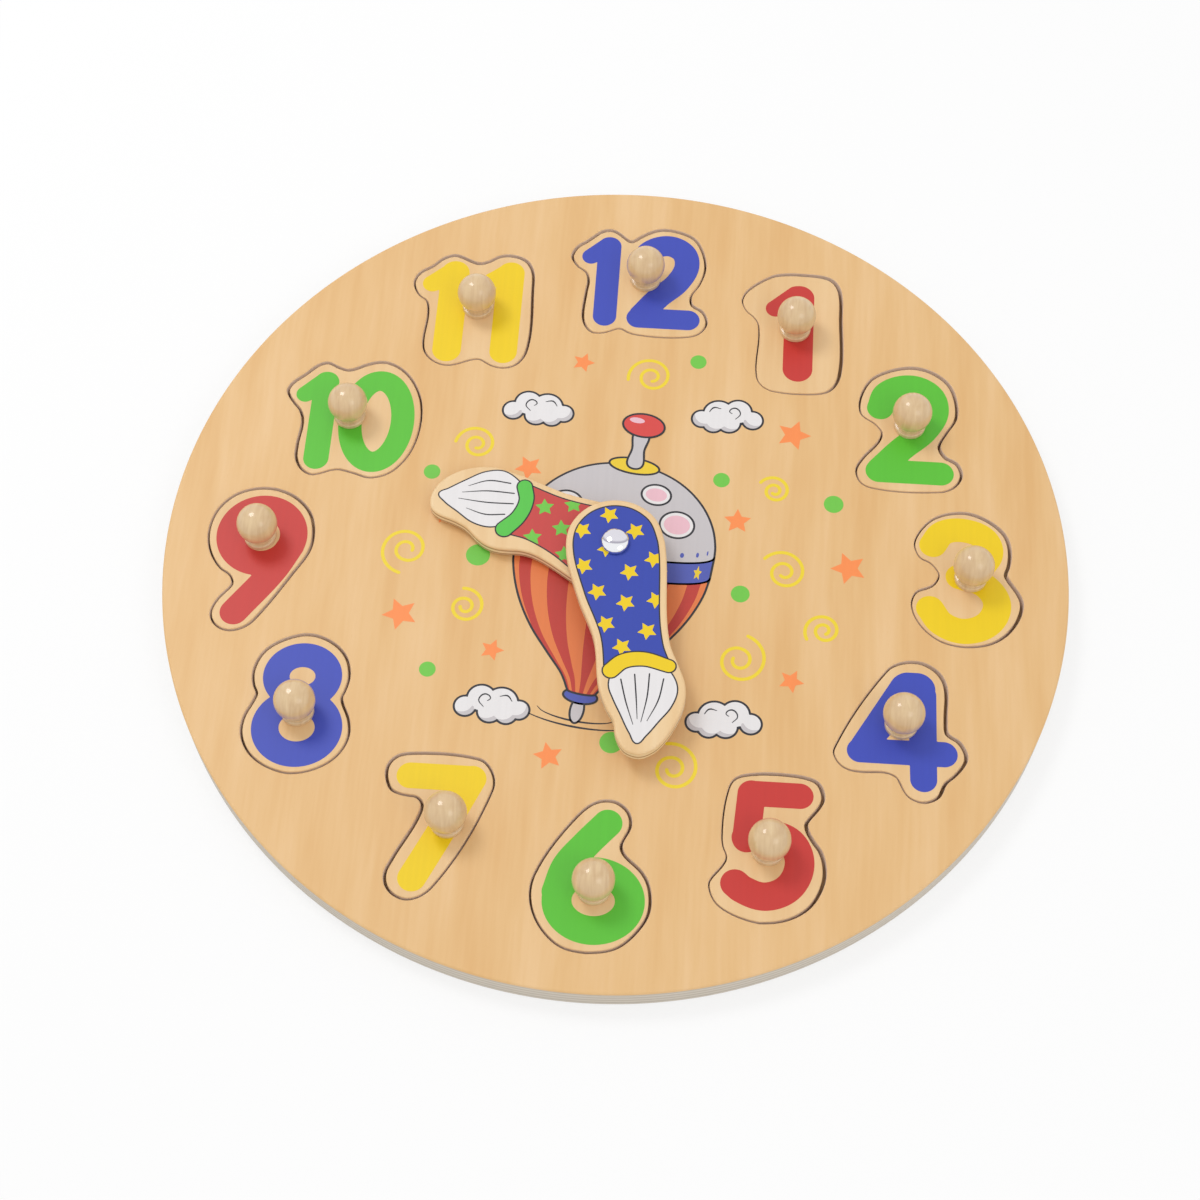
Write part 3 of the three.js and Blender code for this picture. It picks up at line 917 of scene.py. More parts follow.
@dataclass
class Print:
    """Flat prints on one surface: each is a closed layer a few hundredths of a millimetre thick, and a
    later layer stands a little higher, as one ink does over another."""

    name: str
    surface: float
    thickness: float = 0.03
    layer_rise: float = 0.015
    draft: MeshDraft = field(default_factory=MeshDraft)
    inks: list[Ink] = field(default_factory=list)

    def lay(self, outlines: Sequence[np.ndarray], ink: Ink, layer: int) -> None:
        """Lays one shape.

        Args:
            outlines: its closed lines, of which the longest is the outer one and the rest are holes in it.
            ink: its ink.
            layer: how many inks lie under it.
        """
        if ink not in self.inks:
            self.inks.append(ink)
        finish = self.inks.index(ink)
        top = self.surface + self.thickness + layer * self.layer_rise
        loops = [Outline(line).counter_clockwise() for line in outlines]
        loops.sort(key=lambda loop: -loop.area())
        lows, highs = [], []
        for k, loop in enumerate(loops):
            lows.append(self.draft.ring(loop.points, self.surface - self.thickness))
            highs.append(self.draft.ring(loop.points, top))
            low, high = (highs[k], lows[k]) if k else (lows[k], highs[k])
            self.draft.strip(low, high, finish)
        self.draft.fill(lows, False, finish)
        self.draft.fill(highs, True, finish)

    def lay_field(self, grid: Grid, shape: np.ndarray, ink: Ink, layer: int) -> None:
        """Lays a shape that is kept as a field, with each of its islands as a shape of its own.

        Args:
            grid: the field's grid.
            shape: the field.
            ink: its ink.
            layer: how many inks lie under it.
        """
        lines = grid.contours(shape)
        islands = [line for line in lines if Outline(line).area() > 0]
        holes = [line for line in lines if Outline(line).area() < 0]
        for island in islands:
            own = [hole for hole in holes if surrounds(island, hole[0])]
            self.lay([island, *own], ink, layer)

    def build(self, body: str, slot: str) -> None:
        """Makes the print.

        Args:
            body: the body that it rides on.
            slot: not used.
        """
        piece = self.draft.build(self.name, [ink.material for ink in self.inks])
        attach(piece, body)


@dataclass(frozen=True)
class Stroke:
    """A brush stroke through chosen points, with its half-widths spread along it."""

    points: tuple[Point, ...]
    widths: tuple[float, ...]
    step: float = 0.8

    def on(self, grid: Grid) -> np.ndarray:
        """Draws the stroke, straight where it has two points and smooth where it has more.

        Args:
            grid: the grid that takes it.

        Returns:
            The stroke's field.
        """
        line = np.asarray(self.points, float)
        if len(self.points) > 2:
            line = smooth_line(self.points, False, self.step)
        return grid.stroke(line, self.widths)


@dataclass(frozen=True)
class Hoop:
    """A closed oval stroke of even width."""

    centre: Point
    radii: Point
    width: float
    facets: int = 72

    def on(self, grid: Grid) -> np.ndarray:
        """Gives the hoop's field on a grid."""
        oval = Outline.oval(self.centre, self.radii, self.facets).points
        return grid.stroke(np.vstack([oval, oval[:1]]), (self.width,))


# Each numeral's strokes, where they lie on the face, from the board's middle
NUMERALS: dict[int, tuple[Stroke | Hoop, ...]] = {
    1: (
        Stroke(((58.4, 78.3), (58.4, 108.2)), (5.15,)),
        Stroke(((57.8, 108.3), (50, 103.2)), (5, 3.4)),
    ),
    2: (
        Stroke(((87.2, 64.2), (89.5, 70.5), (98, 73.7), (104.5, 70.5), (106.2, 64), (102.5, 56), (94.5, 48),
                (87.5, 40)), (4.5,)),
        Stroke(((87, 39.2), (107.8, 39.2)), (4.5,)),
    ),
    3: (
        Stroke(((105.2, 11.5), (108.5, 16.3), (115.5, 17.7), (122.5, 14.8), (124, 9.5), (120, 3.5), (114, 0)),
               (4.5,)),
        Stroke(((114, 0), (122, -2.5), (126.2, -9), (123.5, -16.5), (115.5, -20), (108, -17.5),
                (104.3, -12.3)), (4.6,)),
    ),
    4: (
        Stroke(((97.4, -41.9), (100.2, -41.9)), (5.8,)),
        Stroke(((97, -42.1), (82.1, -64.5)), (5.7, 4)),
        Stroke(((82.1, -64.5), (108.7, -64.3)), (4.15, 4.35)),
        Stroke(((101.8, -44), (102.3, -73.3)), (4.5, 4.25)),
    ),
    5: (
        Stroke(((48.3, -81.5), (63.5, -81.5)), (4.3,)),
        Stroke(((48.3, -81.5), (47.2, -97)), (4.4,)),
        Stroke(((47.2, -96.5), (54, -94.8), (61, -97), (64, -103.8), (61, -112), (53.8, -115.5),
                (46.5, -113.5), (44.3, -111.8)), (4.6,)),
    ),
    6: (
        Stroke(((3.8, -94.6), (-2.5, -102), (-8, -109.5), (-10.5, -118)), (4.6,)),
        Hoop((1, -120.3), (11.3, 9.6), 4.6),
    ),
    7: (
        Stroke(((-59.5, -82.4), (-39.9, -82.4)), (4.4,)),
        Stroke(((-39.9, -82.4), (-47.5, -99.5), (-55.5, -116.5)), (4.5,)),
    ),
    8: (
        Hoop((-98, -50.2), (8.5, 7.6), 4.3),
        Hoop((-97.6, -68.3), (10.2, 9.3), 4.4),
    ),
    9: (
        Hoop((-118.2, 0.8), (10.6, 10.6), 4.6),
        Stroke(((-108.3, -3), (-112.5, -12), (-123.5, -28.3)), (4.7,)),
    ),
    10: (
        Stroke(((-104, 31.8), (-104, 62.4)), (4.3,)),
        Stroke(((-104.3, 62.2), (-110.7, 57.2)), (4.2, 3.2)),
        Hoop((-85.1, 47.8), (8.97, 16.3), 4.0),
    ),
    11: (
        Stroke(((-64, 78.7), (-64, 111.3)), (5,)),
        Stroke(((-64.3, 111), (-71.6, 106.2)), (4.8, 3.5)),
        Stroke(((-44.2, 79), (-44.2, 112.2)), (4.8,)),
        Stroke(((-44.5, 112), (-50.5, 109)), (4.7, 3.2)),
    ),
    12: (
        Stroke(((-9.9, 96.2), (-9.9, 126.2)), (4.1,)),
        Stroke(((-10, 126.2), (-16.3, 121.5)), (4.1, 3.2)),
        Stroke(((2, 119), (4.5, 125), (11, 127.7), (16.5, 125), (18, 119.5), (15, 112), (8.5, 105),
                (3, 97.5)), (4.4,)),
        Stroke(((2, 96.2), (19.4, 96.2)), (4.15,)),
    ),
}


@dataclass
class Woods:
    """The wood finishes that the pieces share."""

    face: bpy.types.Material
    tile: bpy.types.Material
    hand: bpy.types.Material
    back: bpy.types.Material
    rim: bpy.types.Material
    sawn: bpy.types.Material
    hand_edge: bpy.types.Material
    knob: bpy.types.Material

    @staticmethod
    def mixed() -> "Woods":
        """Makes the wood finishes.

        Returns:
            The finishes.
        """
        return Woods(
            # Lacquered basswood veneer: warm, with a soft sheen. Each sheet is a shade of its own
            face=Veneer("basswood_veneer_face", "#EEC691", "#E9BE84", "#E4B578").material(),
            tile=Veneer("basswood_veneer_tile", "#F1CD9B", "#ECC590", "#E6BB83").material(),
            hand=Veneer("basswood_veneer_hand", "#F3D4A6", "#EFCC9A", "#E8C08B").material(),
            # Birch plywood, sanded and left bare: its bands are stronger and its sheen is duller
            back=Veneer("birch_plywood_back", "#E8C79C", "#DDB687", "#C99E6C", roughness=0.62).material(),
            # Plywood edge, sanded smooth: pale and greyish, with its plies faintly told apart
            rim=PlyEdge("sanded_plywood_rim", "#D8CFC1", "#C2B7A7", ply=1.1, fibre_share=0.4).material(),
            # Plywood edge, just as it was sawn: fibrous and quite matt. Its colours are painted light: far
            # paler than bare sawn plywood, so that the pocket walls and tile sides read lighter in the shade
            # of the narrow saw lines
            sawn=PlyEdge("sawn_plywood_edge_painted_light", "#F0DFD0", "#DCC3AE", roughness=0.8).material(),
            # Thin plywood's edge, sanded: the plies that lie across show as clear brown lines
            hand_edge=PlyEdge("sanded_thin_plywood_edge", "#F2DCB4", "#B08A60", ply=1.0, fibre_share=0.2,
                              pale_from=0.5, roughness=0.55).material(),
            # Birch, turned and dipped in gloss lacquer: pale, and it looks wet
            knob=TurnedWood("turned_birch_gloss", "#E6C99B", "#D3B083").material(),
        )


def node_box(node: str) -> tuple[Vector, Vector]:
    """Gives a frame node's lowest and highest corners, in millimetres."""
    low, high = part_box(node)
    return low / MM, high / MM


def dress_node(node: str, material: bpy.types.Material) -> None:
    """Gives a frame node that stays a finish of its own.

    Args:
        node: the node's name.
        material: its new material.
    """
    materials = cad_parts[node].data.materials
    materials.clear()
    materials.append(material)


@dataclass
class FaceBoard:
    """The round veneered panel with its twelve sawn pockets. A pocket's sawn wall starts a little under
    the face, and the rim's finish ends within a band round the edge."""

    woods: Woods
    rim_round: float = 0.7
    rim_band: float = 1.0
    pocket_round: float = 0.4
    sawn_depth: float = 0.1

    def build(self) -> None:
        """Builds the panel over its frame node."""
        low, high = node_box("face_board")
        outer, *pockets = node_outlines("face_board", (low.z + high.z) / 2)
        draft = MeshDraft()
        rim = [(-BED, low.z), (0, low.z), *rounded(self.rim_round, high.z)]
        pocket = [(-distance, height)
                  for distance, height in [(0, low.z), *rounded(self.pocket_round, high.z)]]
        draw_plate(draft, outer, rim, [(outline, pocket) for outline in pockets], high.z - self.rim_round)
        finishes = [self.woods.face, self.woods.rim, self.woods.sawn]
        band, sawn_top = outer.points.max() - self.rim_band, high.z - self.sawn_depth
        for k, face in enumerate(draft.faces):
            x, y, height = draft.points[face[0]]
            if math.hypot(x, y) < band and height < sawn_top:
                draft.finishes[k] = finishes.index(self.woods.sawn)
        piece = draft.build("veneered_face_panel", finishes)
        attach(piece, "board")
        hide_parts("face_board")
        log.info("face panel: %d faces, %d openings", len(draft.faces), len(pockets))


@dataclass
class BackingBoard:
    """The plywood panel under the face, the floor of the pockets, with the pivot screw's recess."""

    woods: Woods
    rim_round: float = 0.7
    facets: int = 240
    hole_radius: float = 3.25
    hole_facets: int = 48
    recess_radius: float = 5.6
    recess_depth: float = 2.3

    def build(self) -> None:
        """Builds the panel over its frame node."""
        low, high = node_box("backing_board")
        outer = Outline.circle((0, 0), high.x, self.facets)
        edge = [(distance, low.z + high.z - height)
                for distance, height in reversed(rounded(self.rim_round, high.z))]
        hole = Outline.circle((0, 0), self.hole_radius, self.hole_facets)
        wide = self.recess_radius - self.hole_radius
        recess = [(wide, low.z), (wide, self.recess_depth), (0, self.recess_depth), (0, high.z)]
        draft = MeshDraft()
        draw_plate(draft, outer, [*edge, (0, high.z), (-BED, high.z)], [(hole, recess)], high.z)
        piece = draft.build("plywood_backing_panel", [self.woods.back, self.woods.rim])
        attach(piece, "board")
        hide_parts("backing_board")
        log.info("backing panel: %d faces", len(draft.faces))


class TileColour(Enum):
    """Each numeral colour's ink and the record's slot for its tiles."""

    RED = (Ink.TILE_RED, "red_tile")
    GREEN = (Ink.TILE_GREEN, "green_tile")
    YELLOW = (Ink.TILE_YELLOW, "yellow_tile")
    BLUE = (Ink.TILE_BLUE, "blue_tile")

    @staticmethod
    def of(hour: int) -> "TileColour":
        """Gives an hour's colour: the four follow each other round the face."""
        return (TileColour.BLUE, TileColour.RED, TileColour.GREEN, TileColour.YELLOW)[hour % 4]


@dataclass
class NumberTile:
    """One sawn tile with its printed numeral, its turned knob and the screw that holds the knob. The
    knob's side is drawn by shares of its head's radius and of its rise over the flange."""

    hour: int
    woods: Woods
    zinc: bpy.types.Material
    arris: float = 0.4
    hole_radius: float = 1.7
    hole_facets: int = 32
    sink_radius: float = 3.3
    sink_flat: float = 0.3
    sink_top: float = 2.3
    numeral_step: float = 0.3
    knob_bore: float = 9.3
    knob_head: float = 6.7
    knob_foot: float = 0.2
    knob_flange: float = 5.4
    flange_thickness: float = 1.8
    flange_round: float = 0.5
    flange_steps: int = 4
    knob_side: tuple[Point, ...] = (
        (0.68, 0.01), (0.65, 0.08), (0.8, 0.2), (0.95, 0.35), (1, 0.5), (0.95, 0.66), (0.8, 0.8),
        (0.58, 0.91), (0.3, 0.98),
    )
    knob_step: float = 0.6
    knob_facets: int = 56

    @property
    def body(self) -> str:
        """The tile's body."""
        return f"tile_{self.hour}"

    @property
    def slot(self) -> str:
        """The record's slot for the tile."""
        return TileColour.of(self.hour).value[1]

    def knob_centre(self) -> np.ndarray:
        """Gives the knob's axis in plan."""
        low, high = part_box(f"knob_{self.hour}")
        return np.array([low.x + high.x, low.y + high.y]) / 2 / MM

    def build_tile(self) -> None:
        """Builds the sawn tile over its frame node."""
        node = f"number_tile_{self.hour}"
        low, high = node_box(node)
        outer = node_outlines(node, (low.z + high.z) / 2)[0]
        hole = Outline.circle(self.knob_centre(), self.hole_radius, self.hole_facets)
        wide = self.sink_radius - self.hole_radius
        sink = [(wide, low.z), (wide, low.z + self.sink_flat), (0, low.z + self.sink_top), (0, high.z)]
        draft = MeshDraft()
        edge = [(0, low.z), *rounded(self.arris, high.z)]
        draw_plate(draft, outer, edge, [(hole, sink)], high.z - self.arris)
        piece = draft.build(f"tile_{self.hour}_wood", [self.woods.tile, self.woods.sawn])
        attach(piece, self.body)
        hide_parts(node)
        self.slot

    def build_numeral(self) -> None:
        """Prints the numeral on the tile's top."""
        low, high = node_box(f"number_tile_{self.hour}")
        grid = Grid((low.x, low.y), (high.x, high.y), self.numeral_step)
        shape = np.minimum.reduce([stroke.on(grid) for stroke in NUMERALS[self.hour]])
        numeral = Print(f"tile_{self.hour}_numeral", high.z)
        numeral.lay_field(grid, shape, TileColour.of(self.hour).value[0], 0)
        numeral.build(self.body, self.slot)

    def build_knob(self) -> None:
        """Builds the turned knob over its frame node."""
        node = f"knob_{self.hour}"
        low, high = node_box(node)
        rise = high.z - low.z - self.flange_thickness
        side = [(radius * self.knob_head, self.flange_thickness + height * rise)
                for radius, height in self.knob_side]
        side = smooth_line([*side, (0, high.z - low.z)], False, self.knob_step)
        lip = [(self.knob_flange - self.flange_round * (1 - math.cos(turn)),
                self.flange_thickness - self.flange_round * (1 - math.sin(turn)))
               for turn in quarter_turns(self.flange_steps)]
        profile = [(0, self.knob_bore), (self.hole_radius, self.knob_bore), (self.hole_radius, 0),
                   (self.knob_flange - self.knob_foot, 0), (self.knob_flange, self.knob_foot), *lip,
                   *map(tuple, side)]
        draft = MeshDraft()
        draw_turned(draft, profile, tuple(self.knob_centre()), low.z, self.knob_facets)
        piece = draft.build(f"tile_{self.hour}_knob", [self.woods.knob])
        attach(piece, self.body)
        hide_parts(node)

    def build(self) -> None:
        """Builds the tile with what it carries."""
        self.build_tile()
        self.build_numeral()
        self.build_knob()
        dress_node(f"knob_screw_{self.hour}", self.zinc)
        log.info("tile %d: wood, numeral, knob and screw", self.hour)


def star_points(waist: float) -> np.ndarray:
    """Gives a five-pointed star of radius 1.

    Args:
        waist: the inner corners' radius.

    Returns:
        Its ten corners, the first pointing to twelve.
    """
    angles = math.pi / 2 + np.arange(10) * math.pi / 5
    radii = np.where(np.arange(10) % 2 == 0, 1.0, waist)
    return np.column_stack([np.cos(angles), np.sin(angles)]) * radii[:, None]


@dataclass
class ClockHand:
    """A printed wooden hand: a starry sleeve over its head and arm, a cuff, and a paintbrush's tip. It
    points at its degrees clockwise from twelve, and its sleeve ends so far out that way. Its grids are
    each a margin and a step."""

    body: str
    degrees: float
    woods: Woods
    sleeve: Ink
    star_ink: Ink
    cuff_ink: Ink
    stars: tuple[Point, ...]
    star_turn: float
    sleeve_end: float
    cuff: Stroke
    tip: tuple[Point, ...]
    bristles: tuple[tuple[Point, ...], ...]
    clear_radius: float
    bare: tuple[Stroke, ...] = ()
    edge_round: float = 0.8
    hole_facets: int = 48
    print_inset: float = 2.4
    print_step: float = 0.35
    line: float = 0.23
    star_radius: float = 3.3
    star_waist: float = 0.5
    star_grid: Point = (0.3, 0.14)
    tip_step: float = 0.5
    bristle_end: float = 0.1
    bristle_grid: Point = (1.0, 0.15)

    def build(self) -> None:
        """Builds the hand over its frame node, and its print."""
        low, high = node_box(self.body)
        outer, bore = node_outlines(self.body, (low.z + high.z) / 2)[:2]
        hole = Outline.circle((0, 0), float(np.linalg.norm(bore.points, axis=1).max()), self.hole_facets)
        draft = MeshDraft()
        edge, wall = rounded_both(self.edge_round, low.z, high.z), [(0, low.z), (0, high.z)]
        draw_plate(draft, outer, edge, [(hole, wall)], high.z - self.edge_round)
        piece = draft.build(f"{self.body}_wood", [self.woods.hand, self.woods.hand_edge])
        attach(piece, self.body)
        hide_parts(self.body)
        self.body
        self.build_print(outer, Grid((low.x, low.y), (high.x, high.y), self.print_step), high.z)
        log.info("%s: %d faces of wood, %d stars", self.body, len(draft.faces), len(self.stars))

    def sleeve_on(self, grid: Grid, outer: Outline) -> np.ndarray:
        """Draws the sleeve on a grid.

        Args:
            grid: the grid.
            outer: the hand's outline.

        Returns:
            The sleeve's field: inside the hand's bare border, short of the cuff and clear of the pivot.
        """
        angle = math.radians(self.degrees)
        along = grid.places @ np.array([math.sin(angle), math.cos(angle)])
        pivot = self.clear_radius - np.linalg.norm(grid.places, axis=-1)
        bare = [-stroke.on(grid) for stroke in self.bare]
        within = grid.inside(outer) + self.print_inset
        return np.maximum.reduce([within, along - self.sleeve_end, pivot, *bare])

    def build_print(self, outer: Outline, grid: Grid, surface: float) -> None:
        """Prints the sleeve with its stars, the brush's tip and the cuff between them.

        Args:
            outer: the hand's outline.
            grid: a grid over the hand.
            surface: the height of the hand's top.
        """
        design = Print(f"{self.body}_print", surface)
        sleeve = self.sleeve_on(grid, outer)
        design.lay_field(grid, sleeve - self.line, Ink.DARK, 0)
        design.lay_field(grid, sleeve + self.line, self.sleeve, 1)
        for place in self.stars:
            star = Outline(star_points(self.star_waist)).moved(place, self.star_turn, self.star_radius)
            near = Grid.over(star.points, *self.star_grid)
            shape = np.maximum(near.inside(star), self.sleeve_on(near, outer) + self.line)
            design.lay_field(near, shape, self.star_ink, 2)
        tip = Outline.smooth(self.tip, self.tip_step)
        design.lay([tip.offset(self.line).points], Ink.DARK, 2)
        design.lay([tip.offset(-self.line).points], Ink.WHITE, 3)
        for line in self.bristles:
            near = Grid.over(np.asarray(line), *self.bristle_grid)
            bristle = Stroke(line, (self.line, self.line, self.bristle_end))
            design.lay_field(near, bristle.on(near), Ink.DARK, 4)
        cuff = self.cuff.on(grid)
        design.lay_field(grid, cuff - self.line, Ink.DARK, 5)
        design.lay_field(grid, cuff + self.line, self.cuff_ink, 6)
        design.build(self.body, self.body)


def hour_hand(woods: Woods) -> ClockHand:
    """Draws the hour hand, whose print leaves a sleeve's fold bare.

    Args:
        woods: the wood finishes.

    Returns:
        The hand.
    """
    return ClockHand(
        body="hour_hand", degrees=286, woods=woods,
        sleeve=Ink.SLEEVE_RED, star_ink=Ink.DOT_GREEN, cuff_ink=Ink.CUFF_GREEN,
        stars=((-24.4, 14.6), (-14.9, 16.1), (-18.3, 6.9), (-27.6, 2.9), (-16.6, -2.9)),
        star_turn=6, sleeve_end=35.3,
        cuff=Stroke(((-31.7, 22.0), (-30.7, 17.0), (-32.8, 10.5), (-37.2, 5.4)), (2.6, 2.45, 2.6, 2.9)),
        tip=((-31.5, 21), (-30.8, 15), (-34, 9), (-37.5, 7), (-42.5, 5.9), (-48, 7.3), (-53.5, 11.2),
             (-58, 14.6), (-60.2, 17.6), (-57, 19.9), (-51.5, 23.5), (-45.5, 26.9), (-39.5, 27.7),
             (-35, 25.3)),
        bristles=(((-36.5, 23), (-44, 23.6), (-50.5, 21.2)), ((-35, 19.2), (-44, 19.6), (-52.5, 18.6)),
                  ((-35, 15.2), (-44, 15.2), (-53.5, 16.2)), ((-37.5, 11), (-44, 10.6), (-50.5, 12.6))),
        clear_radius=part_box("upper_washer")[1].x / MM + WASHER_MARGIN,
        bare=(Stroke(((-35, 0.4), (-31, -0.6), (-26.5, -2.8), (-21.7, -5.8), (-16.8, -9.7)), (3,)),),
    )


def minute_hand(woods: Woods) -> ClockHand:
    """Draws the minute hand, whose print runs in under the post's head.

    Args:
        woods: the wood finishes.

    Returns:
        The hand.
    """
    return ClockHand(
        body="minute_hand", degrees=171, woods=woods,
        sleeve=Ink.SLEEVE_BLUE, star_ink=Ink.CUFF_YELLOW, cuff_ink=Ink.CUFF_YELLOW,
        stars=((-2.5, 10.2), (-11.1, 3.9), (6.4, 4.6), (-2.6, -2.5), (13, -5.5), (-9.7, -9.4), (5.4, -10.7),
               (-4.6, -18.6), (4.8, -22), (14.6, -20.4), (-1.1, -30.1), (12.4, -31.8), (4.6, -38)),
        star_turn=175, sleeve_end=44.6,
        cuff=Stroke(((1.6, -46.6), (5.2, -43.2), (11.6, -41.9), (20.0, -43.9)), (2.7, 2.6, 2.3)),
        tip=((3, -46), (11.6, -43.5), (19.5, -45), (22.3, -48.5), (23.2, -52.5), (21.6, -58), (17.8, -63.5),
             (14.2, -68.5), (11.3, -71.4), (8.8, -68), (5.2, -61), (2.9, -56.5), (1.2, -52), (1.6, -48.5)),
        bristles=(((5, -49.5), (7, -57), (9.8, -65)), ((9.3, -47.5), (10.3, -56), (11, -63)),
                  ((14, -47), (13.7, -55), (12.2, -64)), ((18.6, -48.5), (17.3, -56), (14.1, -63.5))),
        clear_radius=3.5,
    )


@dataclass
class ToyTopPicture:
    """The picture in the middle of the face: a leaning humming top, spinning among puffs of dust. Its
    shapes are drawn upright round the top's middle, X across and Y up its shaft, and its marks round the
    top by degrees from the middle of its front. An oval is its middle and its radii."""

    surface: float
    clear_radius: float
    centre: Point = (-0.5, 1.5)
    lean: float = 8.0
    line: float = 0.36
    rim: float = 33.0
    belt: float = 8.0
    sight: float = 0.17
    dome: tuple[Point, ...] = (
        (33.0, 5), (32.6, 9), (30.2, 16.5), (25.2, 24), (17.5, 30.3), (8.5, 33.9), (0, 34.8),
    )
    bowl: tuple[Point, ...] = (
        (33.0, -3), (32, -10), (28, -21), (21.5, -31.5), (13.5, -40.5), (7.5, -47), (4.6, -52),
    )
    foot_tip: Oval = ((0, -58.5), (2.2, 4.6))
    foot_collar: Oval = ((0, -53.5), (5.6, 2.6))
    crown_collar: Oval = ((0, 34.4), (8.6, 3.0))
    shaft: tuple[Point, ...] = ((-2.1, 34), (2.1, 34), (2.1, 41), (2.1, 48), (-2.1, 48), (-2.1, 41))
    knob: Oval = ((0, 50.8), (7.2, 4.6))
    knob_gleam: Oval = ((-2.6, 52.4), (2.6, 1.1))
    belt_stars: tuple[int, ...] = (-60, -30, 0, 30, 60)
    belt_star_radius: float = 2.9
    belt_star_waist: float = 0.46
    stripe: float = 15.0
    smallest_stripe: float = 0.5
    # The dome's gleam lies between two level rings that bow upwards, each a radius, a height and what
    # its heights are taken from
    gleam: tuple[Place, Place] = ((27.5, 15, 30), (25.0, 14, 27))
    gleam_ends: Point = (-158, -100)
    spots: tuple[Oval, ...] = (
        ((-19.5, 15.5), (4.6, 4.0)), ((-1.5, 11.2), (5.6, 3.9)), ((18.5, 14.8), (4.8, 4.0)),
        ((9.5, 24.8), (4.0, 2.9)),
    )
    spot_ring: float = 1.0
    spot_gap: float = 0.4
    rivets: tuple[int, ...] = tuple(range(-75, 76, 15))
    rivet_radius: float = 0.95
    rivet_facets: int = 16
    rivet_inset: Point = (1.4, 2.6)
    # Each puff's middle, and 1 or, where it is mirrored, -1
    puffs: tuple[Place, ...] = ((-30, 56.5, 1), (35, 57.5, -1), (-36, -56, 1), (38.5, -56.5, -1))
    puff_half: Point = (14, 8.5)
    puff_lobes: tuple[Place, ...] = (
        (-8.6, -1.2, 3.6), (-3.6, 1.9, 4.7), (3, 0.6, 5.4), (8.8, -1.6, 3.4), (-0.6, -2.6, 4.0),
        (4.8, -3.2, 3.6),
    )
    puff_shade: Point = (1.1, 1.5)
    puff_curls: tuple[tuple[Point, ...], ...] = (
        ((-2.6, -1.2), (-4.4, 1.2), (-2.6, 3.4), (-0.6, 2), (-1.8, 0.9)),
        ((2.2, 2.8), (4.8, 3.2), (6.4, 1.2)),
    )
    puff_pen: Place = (0.12, 0.26, 0.12)
    # Each line under the foot: its radii, and the degrees between which it is drawn
    swirls: tuple[Quad, ...] = ((13, 3.4, 190, 350), (20, 5.4, 205, 335))
    swirl_height: float = -59
    swirl_points: int = 9
    swirl_pen: Place = (0.12, 0.35, 0.12)
    swirl_step: float = 0.6
    swirl_grid: Point = (1.0, 0.25)
    # How finely the shapes are drawn
    margin: float = 1.0
    shape_steps: int = 120
    least_step: float = 0.12
    widest_step: float = 0.3
    side_step: float = 1.5
    stripe_side_step: float = 1.0
    stripe_rounds: int = 4
    girth_degrees: float = 5.0
    design: Print = field(init=False)

    def __post_init__(self) -> None:
        """Takes the sheet that the picture is printed on."""
        self.design = Print("face_picture", self.surface)

    def lay(self, shape: Outline, ink: Ink, layer: int, grown: float = 0.0) -> None:
        """Lays one shape of the top, clear of the pivot's washer.

        Args:
            shape: its outline.
            ink: its ink.
            layer: how many inks lie under it.
            grown: how far it reaches past its outline.
        """
        points = shape.moved(self.centre, -self.lean).points
        low, high = points.min(axis=0) - self.margin, points.max(axis=0) + self.margin
        step = np.clip((high - low).max() / self.shape_steps, self.least_step, self.widest_step)
        grid = Grid(tuple(low), tuple(high), float(step))
        pivot = self.clear_radius - np.linalg.norm(grid.places, axis=-1)
        self.design.lay_field(grid, np.maximum(grid.inside(Outline(points)) - grown, pivot), ink, layer)

    def lay_ringed(self, shape: Outline, ink: Ink, layer: int) -> None:
        """Lays a shape in its ink on a slightly larger dark one, which leaves a drawn line round it."""
        self.lay(shape, Ink.DARK, layer, self.line)
        self.lay(shape, ink, layer + 1, -self.line)

    def girth(self, radius: float, height: float, start: float, end: float) -> np.ndarray:
        """Gives the front of a level ring round the top, seen a little from above.

        Args:
            radius: the ring's radius.
            height: its height up the shaft.
            start: the degrees from the middle of the front where it starts.
            end: the degrees where it ends.

        Returns:
            Its points.
        """
        count = max(2, int(abs(end - start) / self.girth_degrees) + 1)
        turns = np.radians(np.linspace(start, end, count))
        return np.column_stack([radius * np.sin(turns), height - radius * self.sight * np.cos(turns)])

    def flank(self, side: int) -> np.ndarray:
        """Gives the bowl's right edge downward, or its left one where the side is -1."""
        return smooth_line(self.bowl, False, self.side_step) * (side, 1)

